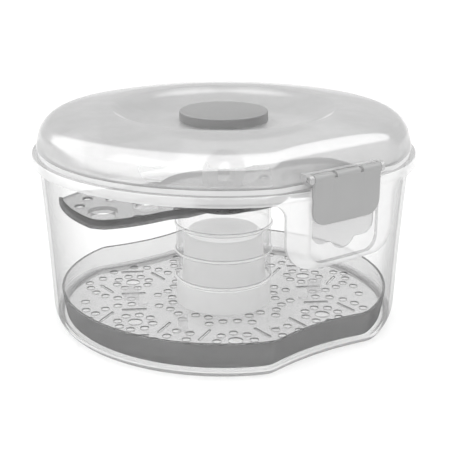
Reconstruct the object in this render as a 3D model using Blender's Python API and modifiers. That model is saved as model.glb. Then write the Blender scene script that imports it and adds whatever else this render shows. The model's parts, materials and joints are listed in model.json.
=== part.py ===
"""Bottle steriliser: a see-through tub with a domed lid, two side clips and a lift-out rack.

Metres, +Z up. The origin is at the middle of the tub's underside. The clips are on the X axis
and the front is towards -Y. A round outline with a flat or hollow bite at each end of the X axis
is the plan of the tub, the lid and the lower tray.
"""

import math

import bmesh
import bpy
from mathutils import Matrix, Vector

GAP = 0.0003

# Tub: outer radius at each height, from the underside to the flange
WALL = 0.0024
TUB_PROFILE = [
    (0.0000, 0.1261), (0.0007, 0.1272), (0.0030, 0.1291), (0.0070, 0.1309), (0.0120, 0.1320),
    (0.0240, 0.1326), (0.0600, 0.1342), (0.1000, 0.1365), (0.1120, 0.1373), (0.1190, 0.1379),
    (0.1242, 0.1383),
]
TUB_BITE_ANGLE = math.radians(21.5)
TUB_HOLLOW = 0.005
HOLLOW_FADES_FROM = 0.100
FLOOR = 0.0024

# Flange round the top of the tub, and the upstand that the lid sits on
FLANGE_LOW = 0.1242
FLANGE_TOP = 0.1311
FLANGE_R = 0.1438
FLANGE_CHORD = 0.1304
FLANGE_BULGE = 0.0082
FLANGE_EASE = 0.0008
UPSTAND_TOP = 0.1344
UPSTAND_R = 0.1387
UPSTAND_CHORD = 0.1296

# Grip panel that hangs from the flange across each bite, with a pocket for the clip
PANEL_HALF = 0.0475
PANEL_LOW = 0.078
PANEL_CORNER = 0.020
PANEL_FILLET = 0.010
PANEL_THICK = 0.0026
RECESS_HALF = 0.0296
RECESS_LOW = 0.081
RECESS_CORNER = 0.010
RECESS_X = 0.1338
POCKET_WALL = 0.0020
POCKET_FRONT_X = 0.1362
WEB_LOW = 0.089
CATCH_HALF = 0.0268
CATCH_Z = (0.0929, 0.113)
CATCH_TAB_R = 0.011
CATCH_TAB_Z = 0.0976
CATCH_PROUD = 0.001

# Lid
LID_THICK = 0.0022
LID_LOW = 0.1349
LID_PROFILE = [
    (0.1349, 0.1394), (0.1384, 0.1392), (0.1466, 0.1369), (0.1500, 0.1349), (0.1530, 0.1324),
    (0.1553, 0.1294), (0.1569, 0.1256), (0.1578, 0.1209), (0.1592, 0.1102), (0.1607, 0.0950),
    (0.1608, 0.0850), (0.1592, 0.0810), (0.1552, 0.0745), (0.1515, 0.0660), (0.1487, 0.0550),
    (0.1475, 0.0410), (0.1483, 0.0330), (0.1497, 0.0290),
]
FACET_CHORD = 0.1302
FACET_BELOW_R = 0.105
FACET_LEAN = 0.353
FACET_TURN = 47.0
FACET_TURNS_FROM = 0.150
STEM_HOLE_R = 0.0083
BEAD_LOW = 0.1295
BEAD_R = 0.1357
BEAD_THICK = 0.0019
BEAD_ROOM = 0.0008

# Knob in the middle of the lid
KNOB_R = 0.0332
KNOB_LOW = 0.1500
KNOB_TOP = 0.1576
STEM_R = 0.0080
BARB_R = 0.0100
BARB_DEPTH = 0.003

# Clips and their hinges
HINGE_X = 0.1358
HINGE_Z = 0.1383
BARREL_R = 0.0031
CLIP_HALF = 0.0289
CLIP_LOW = 0.107
CLIP_BACK_X = 0.1355
CLIP_FRONT_X = 0.1388
CLIP_CORNER = 0.010
PIP_R = 0.0018
PIP_LENGTH = 0.0030
LUG_START = 0.0293
LUG_THICK = 0.0033
LUG_REACH = 0.0026
SHELF_X = 0.1322
SHELF_TOP = 0.1408
SLOT_AT = 0.0115
SLOT_WIDTH = 0.0026

# Lower tray
TRAY_LOW = 0.0046
TRAY_TOP = 0.0239
TRAY_LOW_R = 0.1231
TRAY_TOP_R = 0.1262
TRAY_LOW_CHORD = 0.1150
TRAY_TOP_CHORD = 0.1192
TRAY_HOLLOW = 0.0055
TRAY_WALL = 0.002
TRAY_FLOOR = 0.0020
STATION_R = 0.082
STATIONS = 6
DRAIN_R = 0.0033
STATION_HOLE_R = 0.0055
FOOT_R = 0.004
FOOT_AT = 0.064
FIN_R = 0.073
FIN_HALF = 0.006
FIN_THICK = 0.0018
FIN_TOP = 0.0186
STATION_RINGS = ((0.0135, 8, 0.0), (0.0355, 20, 0.5))
FLOOR_RINGS = ((0.1090, 40), (0.0985, 42), (0.0410, 24))
CHEVRON_AT = 0.0245
CHEVRON_HALF_LONG = 0.0095
CHEVRON_HALF_WIDE = 0.0009

# Cone and sleeve at the centre
CONE_BASE_R = 0.0368
CONE_LEDGE_Z = 0.0253
CONE_NECK_R = 0.0328
CONE_TOP_R = 0.0300
CONE_TOP = 0.0645
CONE_THICK = 0.0018
SLEEVE_R = 0.0368
SLEEVE_THICK = 0.0016
SLEEVE_TOP = 0.0917
RIDGE_PROUD = 0.0016
RIDGE_HALF = 0.0018
RIDGES = (0.0275, 0.0490, 0.0700)
NECK_R = 0.0240

# Upper tray and its handle
DECK_LOW = 0.0920
DECK_FLOOR = 0.0018
DECK_TOP = 0.0985
DECK_RIM = 0.0020
DECK_KERB = 0.0005
BLADE_R = 0.1250
HUB_R = 0.050
BOSS_R = 0.0220
BOSS_LOW = 0.0820
DECK_STEM_R = 0.0085
RING_R = 0.0088
RING_WALL = 0.0018
RING_HEIGHT = 0.003
RING_HOLES = ((-0.003, -0.104), (-0.003, -0.067))
SMALL_HOLE_R = 0.0038
SMALL_HOLES = ((-0.032, -0.107), (-0.034, -0.080), (0.0155, -0.086), (-0.046, -0.093), (0.016, -0.052))
HANDLE_HALF = 0.018
HANDLE_THICK = 0.008
HANDLE_NECK = 0.014
HANDLE_NECK_Z = 0.1015
HANDLE_TOP = 0.1265
HANDLE_FOOT_R = 0.020
HANDLE_FOOT_THICK = 0.0025
HANDLE_SLOT_HALF = 0.008
HANDLE_SLOT = (0.1005, 0.1190)

CORNER_STEPS = 5
SOFT_CORNER = 0.001
ROUND_SIDES = 28


def start_scene():
    """Empty the file and return the collections for the parts and for the cutting tools."""
    for old in list(bpy.data.objects):
        bpy.data.objects.remove(old, do_unlink=True)
    found = []
    for name in ("bottle_steriliser", "cutting_tools"):
        collection = bpy.data.collections.new(name)
        bpy.context.scene.collection.children.link(collection)
        found.append(collection)
    return found


PARTS, TOOLS = start_scene()


def plastic(name, color, roughness, alpha=1.0):
    """A plain plastic; alpha under one is a see-through plastic."""
    material = bpy.data.materials.new(name)
    material.use_nodes = True
    shader = material.node_tree.nodes["Principled BSDF"]
    shader.inputs["Base Color"].default_value = (*color, 1.0)
    shader.inputs["Roughness"].default_value = roughness
    shader.inputs["Metallic"].default_value = 0.0
    shader.inputs["Alpha"].default_value = alpha
    return material


CLEAR = plastic("clear_plastic", (0.92, 0.93, 0.93), 0.08, 0.25)
FROSTED = plastic("frosted_clear_plastic", (0.86, 0.87, 0.87), 0.22, 0.45)
GREY = plastic("grey_satin_plastic", (0.42, 0.42, 0.42), 0.38)
SMOKE = plastic("smoke_grey_plastic", (0.40, 0.41, 0.41), 0.15, 0.55)
MILKY = plastic("milky_plastic", (0.85, 0.85, 0.85), 0.30, 0.80)
PALE_GREY = plastic("pale_grey_plastic", (0.60, 0.60, 0.60), 0.30, 0.80)


def place(name, mesh, material):
    """Put a finished bmesh in the parts collection as one named object."""
    data = bpy.data.meshes.new(name)
    mesh.to_mesh(data)
    mesh.free()
    data.materials.append(material)
    data.set_sharp_from_angle(angle=math.radians(35))
    obj = bpy.data.objects.new(name, data)
    PARTS.objects.link(obj)
    return obj


def join_or_cut(target, tool, operation):
    """Join a tool to a part or cut it away, and keep the tool apart as a guide."""
    PARTS.objects.unlink(tool)
    TOOLS.objects.link(tool)
    tool.hide_render = True
    tool.display_type = "WIRE"
    modifier = target.modifiers.new(tool.name, "BOOLEAN")
    modifier.operation = operation
    modifier.object = tool


def skin(loops, ring_closed=False):
    """A closed mesh through loops of points, each anticlockwise from above, going up the outside."""
    mesh = bmesh.new()
    rows = [[mesh.verts.new(point) for point in loop] for loop in loops]
    following = rows[1:] + (rows[:1] if ring_closed else [])
    for low, high in zip(rows, following):
        for i in range(len(low)):
            j = (i + 1) % len(low)
            mesh.faces.new((low[i], low[j], high[j], high[i]))
    if not ring_closed:
        mesh.faces.new(reversed(rows[0]))
        mesh.faces.new(rows[-1])
    return mesh


def plan_angles():
    """Polar angles round an outline, closer together at the corners of the bites."""
    quarter = [0, 6, 12, 16, 18.5, 20.5, 22.5, 26, 34, 45, 56, 67, 78.5]
    right = [-a for a in reversed(quarter[1:])] + quarter + [90]
    half = [math.radians(a) for a in right]
    return half + [a + math.pi for a in half]


PLAN_ANGLES = plan_angles()


def bitten_radius(angle, radius, chord, hollow):
    """Distance from the axis to an outline of this radius, bitten at both ends of the X axis.

    The bite's ends are at the chord's distance, and its middle is closer in by the hollow.
    """
    if chord is None:
        return radius
    off_axis = abs(math.remainder(angle, math.pi))
    if off_axis > math.radians(60) or chord >= radius + 5 * SOFT_CORNER:
        return radius
    half_angle = math.acos(min(chord / radius, 0.999))
    along = math.tan(off_axis) / math.tan(half_angle)
    reach = (chord - hollow * max(0.0, 1 - along**2)) / math.cos(off_axis)
    nearer, further = sorted((radius, reach))
    return nearer - SOFT_CORNER * math.log1p(math.exp((nearer - further) / SOFT_CORNER))


def ring(z, radius, chord=None, hollow=0.0):
    """A level loop of points on a bitten or plain round outline."""
    points = []
    for angle in PLAN_ANGLES:
        r = bitten_radius(angle, radius, chord, hollow)
        points.append((r * math.cos(angle), r * math.sin(angle), z))
    return points


def rounded(corners):
    """A flat outline through (a, b, radius) corners, each rounded by an arc."""
    points = []
    for i, (a, b, radius) in enumerate(corners):
        here = Vector((a, b))
        if radius == 0:
            points.append((a, b))
            continue
        before = (Vector(corners[i - 1][:2]) - here).normalized()
        after = (Vector(corners[(i + 1) % len(corners)][:2]) - here).normalized()
        half = before.angle(after) / 2
        centre = here + (before + after).normalized() * radius / math.sin(half)
        start = here + before * radius / math.tan(half) - centre
        end = here + after * radius / math.tan(half) - centre
        sweep = math.atan2(start.x * end.y - start.y * end.x, start.dot(end))
        for step in range(CORNER_STEPS + 1):
            turned = Matrix.Rotation(sweep * step / CORNER_STEPS, 2) @ start
            points.append(tuple(centre + turned))
    return points


def prism(name, outline, axis, low, high, material, turn=0.0):
    """An outline pushed along an axis from low to high, then turned about Z."""
    to_world = {
        "X": lambda a, b, c: (c, a, b),
        "Y": lambda a, b, c: (b, c, a),
        "Z": lambda a, b, c: (a, b, c),
    }[axis]
    area = sum(p[0] * q[1] - q[0] * p[1] for p, q in zip(outline, outline[1:] + outline[:1]))
    if area < 0:
        outline = outline[::-1]
    mesh = skin([[to_world(a, b, c) for a, b in outline] for c in (low, high)])
    bmesh.ops.rotate(mesh, verts=mesh.verts, cent=(0, 0, 0), matrix=Matrix.Rotation(turn, 3, "Z"))
    return place(name, mesh, material)


def circle(radius, centre=(0.0, 0.0), sides=ROUND_SIDES, start=0.0):
    """A flat regular outline."""
    turns = [start + 2 * math.pi * i / sides for i in range(sides)]
    return [(centre[0] + radius * math.cos(t), centre[1] + radius * math.sin(t)) for t in turns]


def turned(name, profile, material):
    """A solid of revolution through a closed (radius, z) profile, by the Screw modifier.

    The profile goes down the outside and comes back up the inside.
    """
    mesh = bmesh.new()
    verts = [mesh.verts.new((r, 0, z)) for r, z in profile]
    following = verts[1:] if profile[0][0] == profile[-1][0] == 0 else verts[1:] + verts[:1]
    for vert, other in zip(verts, following):
        mesh.edges.new((vert, other))
    obj = place(name, mesh, material)
    screw = obj.modifiers.new("turn", "SCREW")
    screw.steps = ROUND_SIDES
    screw.render_steps = ROUND_SIDES
    screw.use_merge_vertices = True
    screw.merge_threshold = 0.00001
    return obj


def tub_hollow(z):
    """How far the middle of the bite is hollowed: nothing at the flange."""
    fade = (z - HOLLOW_FADES_FROM) / (FLANGE_LOW - HOLLOW_FADES_FROM)
    return TUB_HOLLOW * (1 - max(0.0, fade) ** 2)


def make_container():
    """The tub: a tapered bitten wall, a flange, and a grip panel across each bite."""
    shrink = math.cos(TUB_BITE_ANGLE)
    outside = [ring(z, r, r * shrink, tub_hollow(z)) for z, r in TUB_PROFILE]
    eased_r, eased_chord = FLANGE_R - FLANGE_EASE, FLANGE_CHORD - FLANGE_EASE
    rim = [
        ring(FLANGE_LOW, eased_r, eased_chord, -FLANGE_BULGE),
        ring(FLANGE_LOW + FLANGE_EASE, FLANGE_R, FLANGE_CHORD, -FLANGE_BULGE),
        ring(FLANGE_TOP, eased_r, eased_chord, -FLANGE_BULGE),
        ring(FLANGE_TOP, UPSTAND_R, UPSTAND_CHORD),
        ring(UPSTAND_TOP, UPSTAND_R, UPSTAND_CHORD),
        ring(UPSTAND_TOP, UPSTAND_R - WALL, UPSTAND_CHORD - WALL),
    ]
    inside = []
    for z, r in reversed(TUB_PROFILE[3:]):
        inside.append(ring(z, r - WALL, r * shrink - WALL, tub_hollow(z)))
    for z, r in ((0.0042, 0.1275), (FLOOR, 0.1238)):
        inside.append(ring(z, r, r * shrink, TUB_HOLLOW))
    tub = place("container", skin(outside + rim + inside), CLEAR)
    for side, turn in (("right", 0.0), ("left", math.pi)):
        add_grip_panel(tub, side, turn)
    return tub


def panel_face(y):
    """X of the grip panel's face, which is the flange's own bulged bite."""
    span = FLANGE_CHORD * math.tan(math.acos(FLANGE_CHORD / FLANGE_R))
    return FLANGE_CHORD + FLANGE_BULGE * (1 - (y / span) ** 2)


def add_grip_panel(tub, side, turn):
    """A U-shaped panel under the flange with a pocket for the clip, tied back to the tub's wall."""
    reach = PANEL_HALF + PANEL_FILLET
    across = [reach * (i / 8 - 1) for i in range(17)]
    band = [(panel_face(y), y) for y in across]
    band += [(panel_face(y) - PANEL_THICK, y) for y in reversed(across)]
    joined_at = FLANGE_LOW + 0.001
    panel = prism(f"panel_band_{side}", band, "Z", PANEL_LOW - 0.01, joined_at, CLEAR, turn)
    outline = rounded([
        (-reach - 0.01, joined_at + 0.01, 0), (-reach - 0.01, FLANGE_LOW, 0),
        (-PANEL_HALF, FLANGE_LOW, PANEL_FILLET), (-PANEL_HALF, PANEL_LOW, PANEL_CORNER),
        (PANEL_HALF, PANEL_LOW, PANEL_CORNER), (PANEL_HALF, FLANGE_LOW, PANEL_FILLET),
        (reach + 0.01, FLANGE_LOW, 0), (reach + 0.01, joined_at + 0.01, 0),
    ])
    front = prism(f"panel_outline_{side}", outline, "X", 0.11, 0.15, CLEAR, turn)
    join_or_cut(panel, front, "INTERSECT")
    join_or_cut(tub, panel, "UNION")
    wall = POCKET_WALL
    block = u_outline(RECESS_HALF + wall, RECESS_LOW - wall, joined_at, RECESS_CORNER + wall)
    pocket = prism(f"pocket_{side}", block, "X", RECESS_X - wall, POCKET_FRONT_X, CLEAR, turn)
    join_or_cut(tub, pocket, "UNION")
    for end, y in (("front", -RECESS_HALF - wall), ("back", RECESS_HALF)):
        web = prism(f"web_{side}_{end}", web_outline(y + wall / 2), "Y", y, y + wall, CLEAR, turn)
        join_or_cut(tub, web, "UNION")
    recess = u_outline(RECESS_HALF, RECESS_LOW, UPSTAND_TOP + 0.005, RECESS_CORNER)
    join_or_cut(tub, prism(f"clip_recess_{side}", recess, "X", RECESS_X, 0.16, CLEAR, turn), "DIFFERENCE")
    sunk, proud = RECESS_X - 0.0008, RECESS_X + CATCH_PROUD
    join_or_cut(tub, prism(f"catch_{side}", catch_outline(), "X", sunk, proud, CLEAR, turn), "UNION")


def u_outline(half, low, high, corner):
    """An upright outline with square top corners and rounded bottom corners."""
    return rounded([(-half, high, 0), (-half, low, corner), (half, low, corner), (half, high, 0)])


def web_outline(y):
    """Side view of a web: its back edge lies in the middle of the tub's wall at this distance along Y."""
    back = []
    for z in (FLANGE_LOW + 0.0005, 0.119, 0.112, 0.100, WEB_LOW):
        back.append((z, wall_face(y, z) - WALL / 2))
    front = RECESS_X - 0.0005
    return back + [(WEB_LOW, front), (FLANGE_LOW + 0.0005, front)]


def wall_face(y, z):
    """X of the tub's outer wall in the bite at this place."""
    radius = next(r for height, r in reversed(TUB_PROFILE) if height <= z)
    chord = radius * math.cos(TUB_BITE_ANGLE)
    return chord - tub_hollow(min(z, FLANGE_LOW)) * (1 - (y / (radius * math.sin(TUB_BITE_ANGLE))) ** 2)


def catch_outline():
    """A low plate behind the clip with a round finger tab below its middle."""
    low, high = CATCH_Z
    start = math.asin((CATCH_TAB_Z - low) / CATCH_TAB_R)
    sweep = math.pi - 2 * start
    tab = []
    for step in range(9):
        turn = math.pi + start + sweep * step / 8
        tab.append((CATCH_TAB_R * math.cos(turn), CATCH_TAB_Z + CATCH_TAB_R * math.sin(turn), 0))
    corner = 0.008
    left = [(-CATCH_HALF, high, 0), (-CATCH_HALF, low, corner)]
    right = [(CATCH_HALF, low, corner), (CATCH_HALF, high, 0)]
    return rounded(left + tab + right)


def facet_chord(z):
    """Distance from the axis to the lid's leaning flat above each clip, which turns inwards at its top."""
    turned_in = FACET_TURN * max(0.0, z - FACET_TURNS_FROM) ** 2
    return FACET_CHORD - FACET_LEAN * (z - LID_LOW) - turned_in


def inset_profile(profile, thickness):
    """The (z, radius) profile moved inwards along its normals."""
    moved = []
    for i, (z, r) in enumerate(profile):
        before = profile[max(i - 1, 0)]
        after = profile[min(i + 1, len(profile) - 1)]
        along = Vector((after[1] - before[1], after[0] - before[0])).normalized()
        moved.append((z + thickness * along.x, r - thickness * along.y))
    return moved


def make_lid():
    """A domed shell with a dished middle, a locating bead, and hinge lugs at both flats."""
    facet_thick = LID_THICK * math.hypot(1, FACET_LEAN)
    outside = []
    for z, r in LID_PROFILE:
        outside.append(ring(z, r, facet_chord(z) if r > FACET_BELOW_R else None))
    top = LID_PROFILE[-1][0]
    hole = [ring(top, STEM_HOLE_R), ring(top - LID_THICK, STEM_HOLE_R)]
    under = []
    for z, r in reversed(inset_profile(LID_PROFILE[2:], LID_THICK)):
        under.append(ring(z, r, facet_chord(z) - facet_thick if r > FACET_BELOW_R else None))
    bead_chord = UPSTAND_CHORD - WALL - BEAD_ROOM
    inner_r, inner_chord = BEAD_R - BEAD_THICK, bead_chord - BEAD_THICK
    bead = [
        ring(LID_LOW + 0.003, inner_r, inner_chord),
        ring(BEAD_LOW, inner_r, inner_chord),
        ring(BEAD_LOW, BEAD_R, bead_chord),
        ring(LID_LOW, BEAD_R, bead_chord),
    ]
    lid = place("lid", skin(hole[1:] + under + bead + outside + hole[:1], ring_closed=True), FROSTED)
    end = LUG_START + LUG_THICK
    low = LID_LOW + 0.0001
    shelf = [(low, facet_root(low)), (low, SHELF_X), (SHELF_TOP, SHELF_X), (SHELF_TOP, facet_root(SHELF_TOP))]
    for side, turn in (("right", 0.0), ("left", math.pi)):
        join_or_cut(lid, prism(f"hinge_shelf_{side}", shelf, "Y", -end, end, FROSTED, turn), "UNION")
        for place_name, y in (("front", -end), ("back", LUG_START)):
            add_lug(lid, f"{side}_{place_name}", y, turn)
    return lid


def facet_root(z):
    """X of a place inside the thickness of the lid's flat."""
    return facet_chord(z) - LID_THICK / 2


def add_lug(lid, name, y, turn):
    """A lug on the lid's flat with a hole for one of the clip's pips."""
    low, high = LID_LOW + 0.0001, HINGE_Z + BARREL_R
    tip = HINGE_X + LUG_REACH
    outline = rounded([
        (low, facet_root(low), 0), (low, tip, 0.0022), (high, tip, 0.0026), (high, facet_root(high), 0),
    ])
    join_or_cut(lid, prism(f"lug_{name}", outline, "Y", y, y + LUG_THICK, FROSTED, turn), "UNION")
    hole = circle(PIP_R + GAP, (HINGE_Z, HINGE_X), 12)
    drilled = prism(f"lug_hole_{name}", hole, "Y", y - 0.0005, y + LUG_THICK + 0.0005, FROSTED, turn)
    join_or_cut(lid, drilled, "DIFFERENCE")


def make_knob():
    """A flat round knob with a stem that snaps through the lid."""
    under_lid = LID_PROFILE[-1][0] - LID_THICK - GAP
    return turned("lid_knob", [
        (0, KNOB_TOP), (KNOB_R - 0.0016, KNOB_TOP), (KNOB_R - 0.0004, KNOB_TOP - 0.0006),
        (KNOB_R, KNOB_TOP - 0.0018), (KNOB_R + 0.0002, KNOB_LOW + 0.0005), (KNOB_R - 0.0005, KNOB_LOW),
        (STEM_R, KNOB_LOW), (STEM_R, under_lid), (BARB_R, under_lid),
        (STEM_R - 0.001, under_lid - BARB_DEPTH), (0, under_lid - BARB_DEPTH),
    ], GREY)


def make_clip(side, turn):
    """A rounded flap that hangs from three barrels, on a bar with a pip at each end."""
    flap = u_outline(CLIP_HALF, CLIP_LOW, HINGE_Z - 0.0006, CLIP_CORNER)
    clip = prism(f"clip_{side}", flap, "X", CLIP_BACK_X, CLIP_FRONT_X, GREY, turn)
    barrel = circle(BARREL_R, (HINGE_Z, HINGE_X), 20, 0.1)
    inner, outer, end = SLOT_AT - SLOT_WIDTH / 2, SLOT_AT + SLOT_WIDTH / 2, CLIP_HALF - 0.0001
    for place_name, low, high in (("front", -end, -outer), ("middle", -inner, inner), ("back", outer, end)):
        name = f"barrel_{side}_{place_name}"
        join_or_cut(clip, prism(name, barrel, "Y", low, high, GREY, turn), "UNION")
    reach = CLIP_HALF + PIP_LENGTH
    pip = circle(PIP_R, (HINGE_Z, HINGE_X), 12)
    join_or_cut(clip, prism(f"pips_{side}", pip, "Y", -reach, reach, GREY, turn), "UNION")
    return clip


def clear_of_walls(x, y, edge):
    """Whether a drain hole at x, y lies well inside the lower tray's floor."""
    reach = bitten_radius(math.atan2(y, x), TRAY_LOW_R, TRAY_LOW_CHORD, TRAY_HOLLOW)
    inner = CONE_BASE_R - 0.0005
    return inner + edge < math.hypot(x, y) < reach - edge - 0.005


def drain_holes():
    """Centres and radii of the lower tray's holes: rings round each station and round the rim."""
    found = []

    def add(x, y, radius):
        room = all(math.hypot(x - a, y - b) > radius + r + 0.0022 for a, b, r in found)
        if room and clear_of_walls(x, y, radius):
            found.append((x, y, radius))

    middles = [math.radians(30 + 60 * i) for i in range(STATIONS)]
    for middle in middles:
        add(STATION_R * math.cos(middle), STATION_R * math.sin(middle), STATION_HOLE_R)
    for reach, count, offset in STATION_RINGS:
        for middle in middles:
            x, y = STATION_R * math.cos(middle), STATION_R * math.sin(middle)
            for i in range(count):
                turn = middle + 2 * math.pi * (i + offset) / count
                add(x + reach * math.cos(turn), y + reach * math.sin(turn), DRAIN_R)
    for radius, count in FLOOR_RINGS:
        for i in range(count):
            turn = 2 * math.pi * (i + 0.5) / count
            add(radius * math.cos(turn), radius * math.sin(turn), DRAIN_R)
    return found


def strip(centre, along, half_long, half_wide):
    """A narrow four-sided outline centred on a point."""
    across = Vector((-along.y, along.x))
    corners = ((-1, -1), (1, -1), (1, 1), (-1, 1))
    return [tuple(centre + along * half_long * a + across * half_wide * b) for a, b in corners]


def compass(angle):
    """The level unit vector at this polar angle."""
    return Vector((math.cos(angle), math.sin(angle)))


def chevron_slots():
    """Outlines of the four narrow slots round each station."""
    strips = []
    for i in range(STATIONS):
        middle = math.radians(30 + 60 * i)
        for side in (1, 2, 4, 5):
            out = compass(middle + side * math.pi / 3)
            along = Vector((out.y, -out.x))
            spot = compass(middle) * STATION_R + out * CHEVRON_AT
            strips.append(strip(spot, along, CHEVRON_HALF_LONG, CHEVRON_HALF_WIDE))
    return strips


def gather(name, outlines, low, high, material):
    """One tool of many separate upright prisms."""
    mesh = bmesh.new()
    for outline in outlines:
        piece = skin([[(x, y, z) for x, y in outline] for z in (low, high)])
        data = bpy.data.meshes.new(name)
        piece.to_mesh(data)
        piece.free()
        mesh.from_mesh(data)
        bpy.data.meshes.remove(data)
    return place(name, mesh, material)


def make_lower_tray():
    """A bitten tray with a drained floor, six feet and a fin between most stations."""
    floor_top = TRAY_LOW + TRAY_FLOOR
    tray = place("lower_tray", skin([
        ring(TRAY_LOW, TRAY_LOW_R, TRAY_LOW_CHORD, TRAY_HOLLOW),
        ring(TRAY_TOP, TRAY_TOP_R, TRAY_TOP_CHORD, TRAY_HOLLOW),
        ring(TRAY_TOP, TRAY_TOP_R - TRAY_WALL, TRAY_TOP_CHORD - TRAY_WALL, TRAY_HOLLOW),
        ring(floor_top, TRAY_LOW_R - TRAY_WALL, TRAY_LOW_CHORD - TRAY_WALL, TRAY_HOLLOW),
    ]), SMOKE)
    feet_at = [compass(math.radians(60 * i)) * FOOT_AT for i in range(6)]
    feet = [circle(FOOT_R, tuple(spot), 8) for spot in feet_at]
    fins = []
    for i in (1, 2, 4, 5):
        out = compass(math.radians(60 * i))
        fins.append(strip(out * FIN_R, out, FIN_HALF, FIN_THICK / 2))
    join_or_cut(tray, gather("tray_feet", feet, FLOOR + GAP, TRAY_LOW + 0.001, SMOKE), "UNION")
    join_or_cut(tray, gather("tray_fins", fins, TRAY_LOW + 0.001, FIN_TOP, SMOKE), "UNION")
    holes = []
    for x, y, radius in drain_holes():
        if all(math.hypot(x - a, y - b) > radius + FOOT_R + 0.001 for a, b in feet_at):
            holes.append(circle(radius, (x, y), 6 if radius == DRAIN_R else 8))
    drains = gather("tray_drains", holes + chevron_slots(), TRAY_LOW - 0.001, floor_top + 0.001, SMOKE)
    join_or_cut(tray, drains, "DIFFERENCE")
    return tray


def make_cone():
    """An inverted cup on the lower tray with a ledge that carries the sleeve."""
    low = TRAY_LOW + TRAY_FLOOR + GAP
    t = CONE_THICK
    return turned("centre_cone", [
        (0, CONE_TOP), (CONE_TOP_R - 0.002, CONE_TOP), (CONE_TOP_R, CONE_TOP - 0.0015),
        (CONE_NECK_R, CONE_LEDGE_Z), (CONE_BASE_R - 0.0008, CONE_LEDGE_Z),
        (CONE_BASE_R, CONE_LEDGE_Z - 0.002),
        (CONE_BASE_R + 0.0004, low), (CONE_BASE_R - t, low), (CONE_BASE_R - t - 0.0004, CONE_LEDGE_Z - t),
        (CONE_NECK_R - t, CONE_LEDGE_Z - t), (CONE_TOP_R - t, CONE_TOP - 0.0015 - t), (0, CONE_TOP - t),
    ], MILKY)


def make_sleeve():
    """A ridged clear sleeve that stands on the cone's ledge and carries the upper tray."""
    low = CONE_LEDGE_Z + GAP
    inner = SLEEVE_R - SLEEVE_THICK
    neck = NECK_R + 0.0002
    outside = [(neck, SLEEVE_TOP), (neck, 0.0880), (SLEEVE_R - 0.002, 0.0862), (SLEEVE_R, 0.0840)]
    for z in reversed(RIDGES):
        outside += [(SLEEVE_R, z + RIDGE_HALF), (SLEEVE_R + RIDGE_PROUD, z), (SLEEVE_R, z - RIDGE_HALF)]
    bore = BOSS_R + GAP
    inside = [(SLEEVE_R, low), (inner, low), (inner, 0.0832), (bore, 0.0866), (bore, SLEEVE_TOP)]
    return turned("centre_sleeve", outside + inside, CLEAR)


def deck_outline(inset):
    """Plan of the upper tray: a round hub with a broad curved blade at the front and the back.

    Each point is (x, y, share of the rim's full height): the blades' cut ends have no rim.
    """
    half = []
    for step in range(9):
        out = compass(math.radians(-116 + 33 * step / 8)) * (BLADE_R - inset)
        half.append((out.x, out.y, 1.0 if step else 0.0))
    half += [
        (0.0230 - inset, -0.1180 + inset / 2, 1.0), (0.0268 - inset, -0.1080, 1.0),
        (0.0292 - inset, -0.0970, 1.0), (0.0304 - inset, -0.0850, 1.0),
        (0.0308 - inset, -0.0700, 1.0), (0.0345 - inset, -0.0560 + inset, 1.0),
    ]
    for step in range(1, 9):
        out = compass(math.radians(-52 + 104 * step / 9)) * (HUB_R - inset)
        half.append((out.x, out.y, 1.0))
    half += [
        (0.0400 - inset, 0.0345, 1.0), (0.0480 - inset, 0.0500, 0.6),
        (0.0585 - inset, 0.0700, 0.0), (0.0655 - inset, 0.0885 - inset / 2, 0.0),
    ]
    return half + [(-x, -y, share) for x, y, share in half]


def make_upper_tray():
    """A rimmed deck with a boss that plugs into the sleeve, and holes in each blade."""
    deck_top = DECK_LOW + DECK_FLOOR
    outer, inner = deck_outline(0.0), deck_outline(DECK_RIM)
    kerb = deck_top + DECK_KERB
    rise = DECK_TOP - kerb
    deck = place("upper_tray", skin([
        [(x, y, DECK_LOW) for x, y, share in outer],
        [(x, y, kerb + rise * share) for x, y, share in outer],
        [(x, y, kerb + rise * share) for x, y, share in inner],
        [(x, y, deck_top) for x, y, share in inner],
    ]), SMOKE)
    boss = prism("deck_boss", circle(BOSS_R), "Z", BOSS_LOW, DECK_LOW + 0.001, SMOKE)
    join_or_cut(deck, boss, "UNION")
    rings = []
    holes = [circle(DECK_STEM_R + GAP, sides=16)]
    for sign in (1, -1):
        for x, y in RING_HOLES:
            rings.append(circle(RING_R + RING_WALL, (x * sign, y * sign), 16))
            holes.append(circle(RING_R, (x * sign, y * sign), 16))
        for x, y in SMALL_HOLES:
            holes.append(circle(SMALL_HOLE_R, (x * sign, y * sign), 8))
    collars = gather("deck_rings", rings, deck_top - 0.0005, deck_top + RING_HEIGHT, SMOKE)
    join_or_cut(deck, collars, "UNION")
    join_or_cut(deck, gather("deck_holes", holes, BOSS_LOW - 0.001, DECK_TOP + 0.001, SMOKE), "DIFFERENCE")
    return deck


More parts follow.
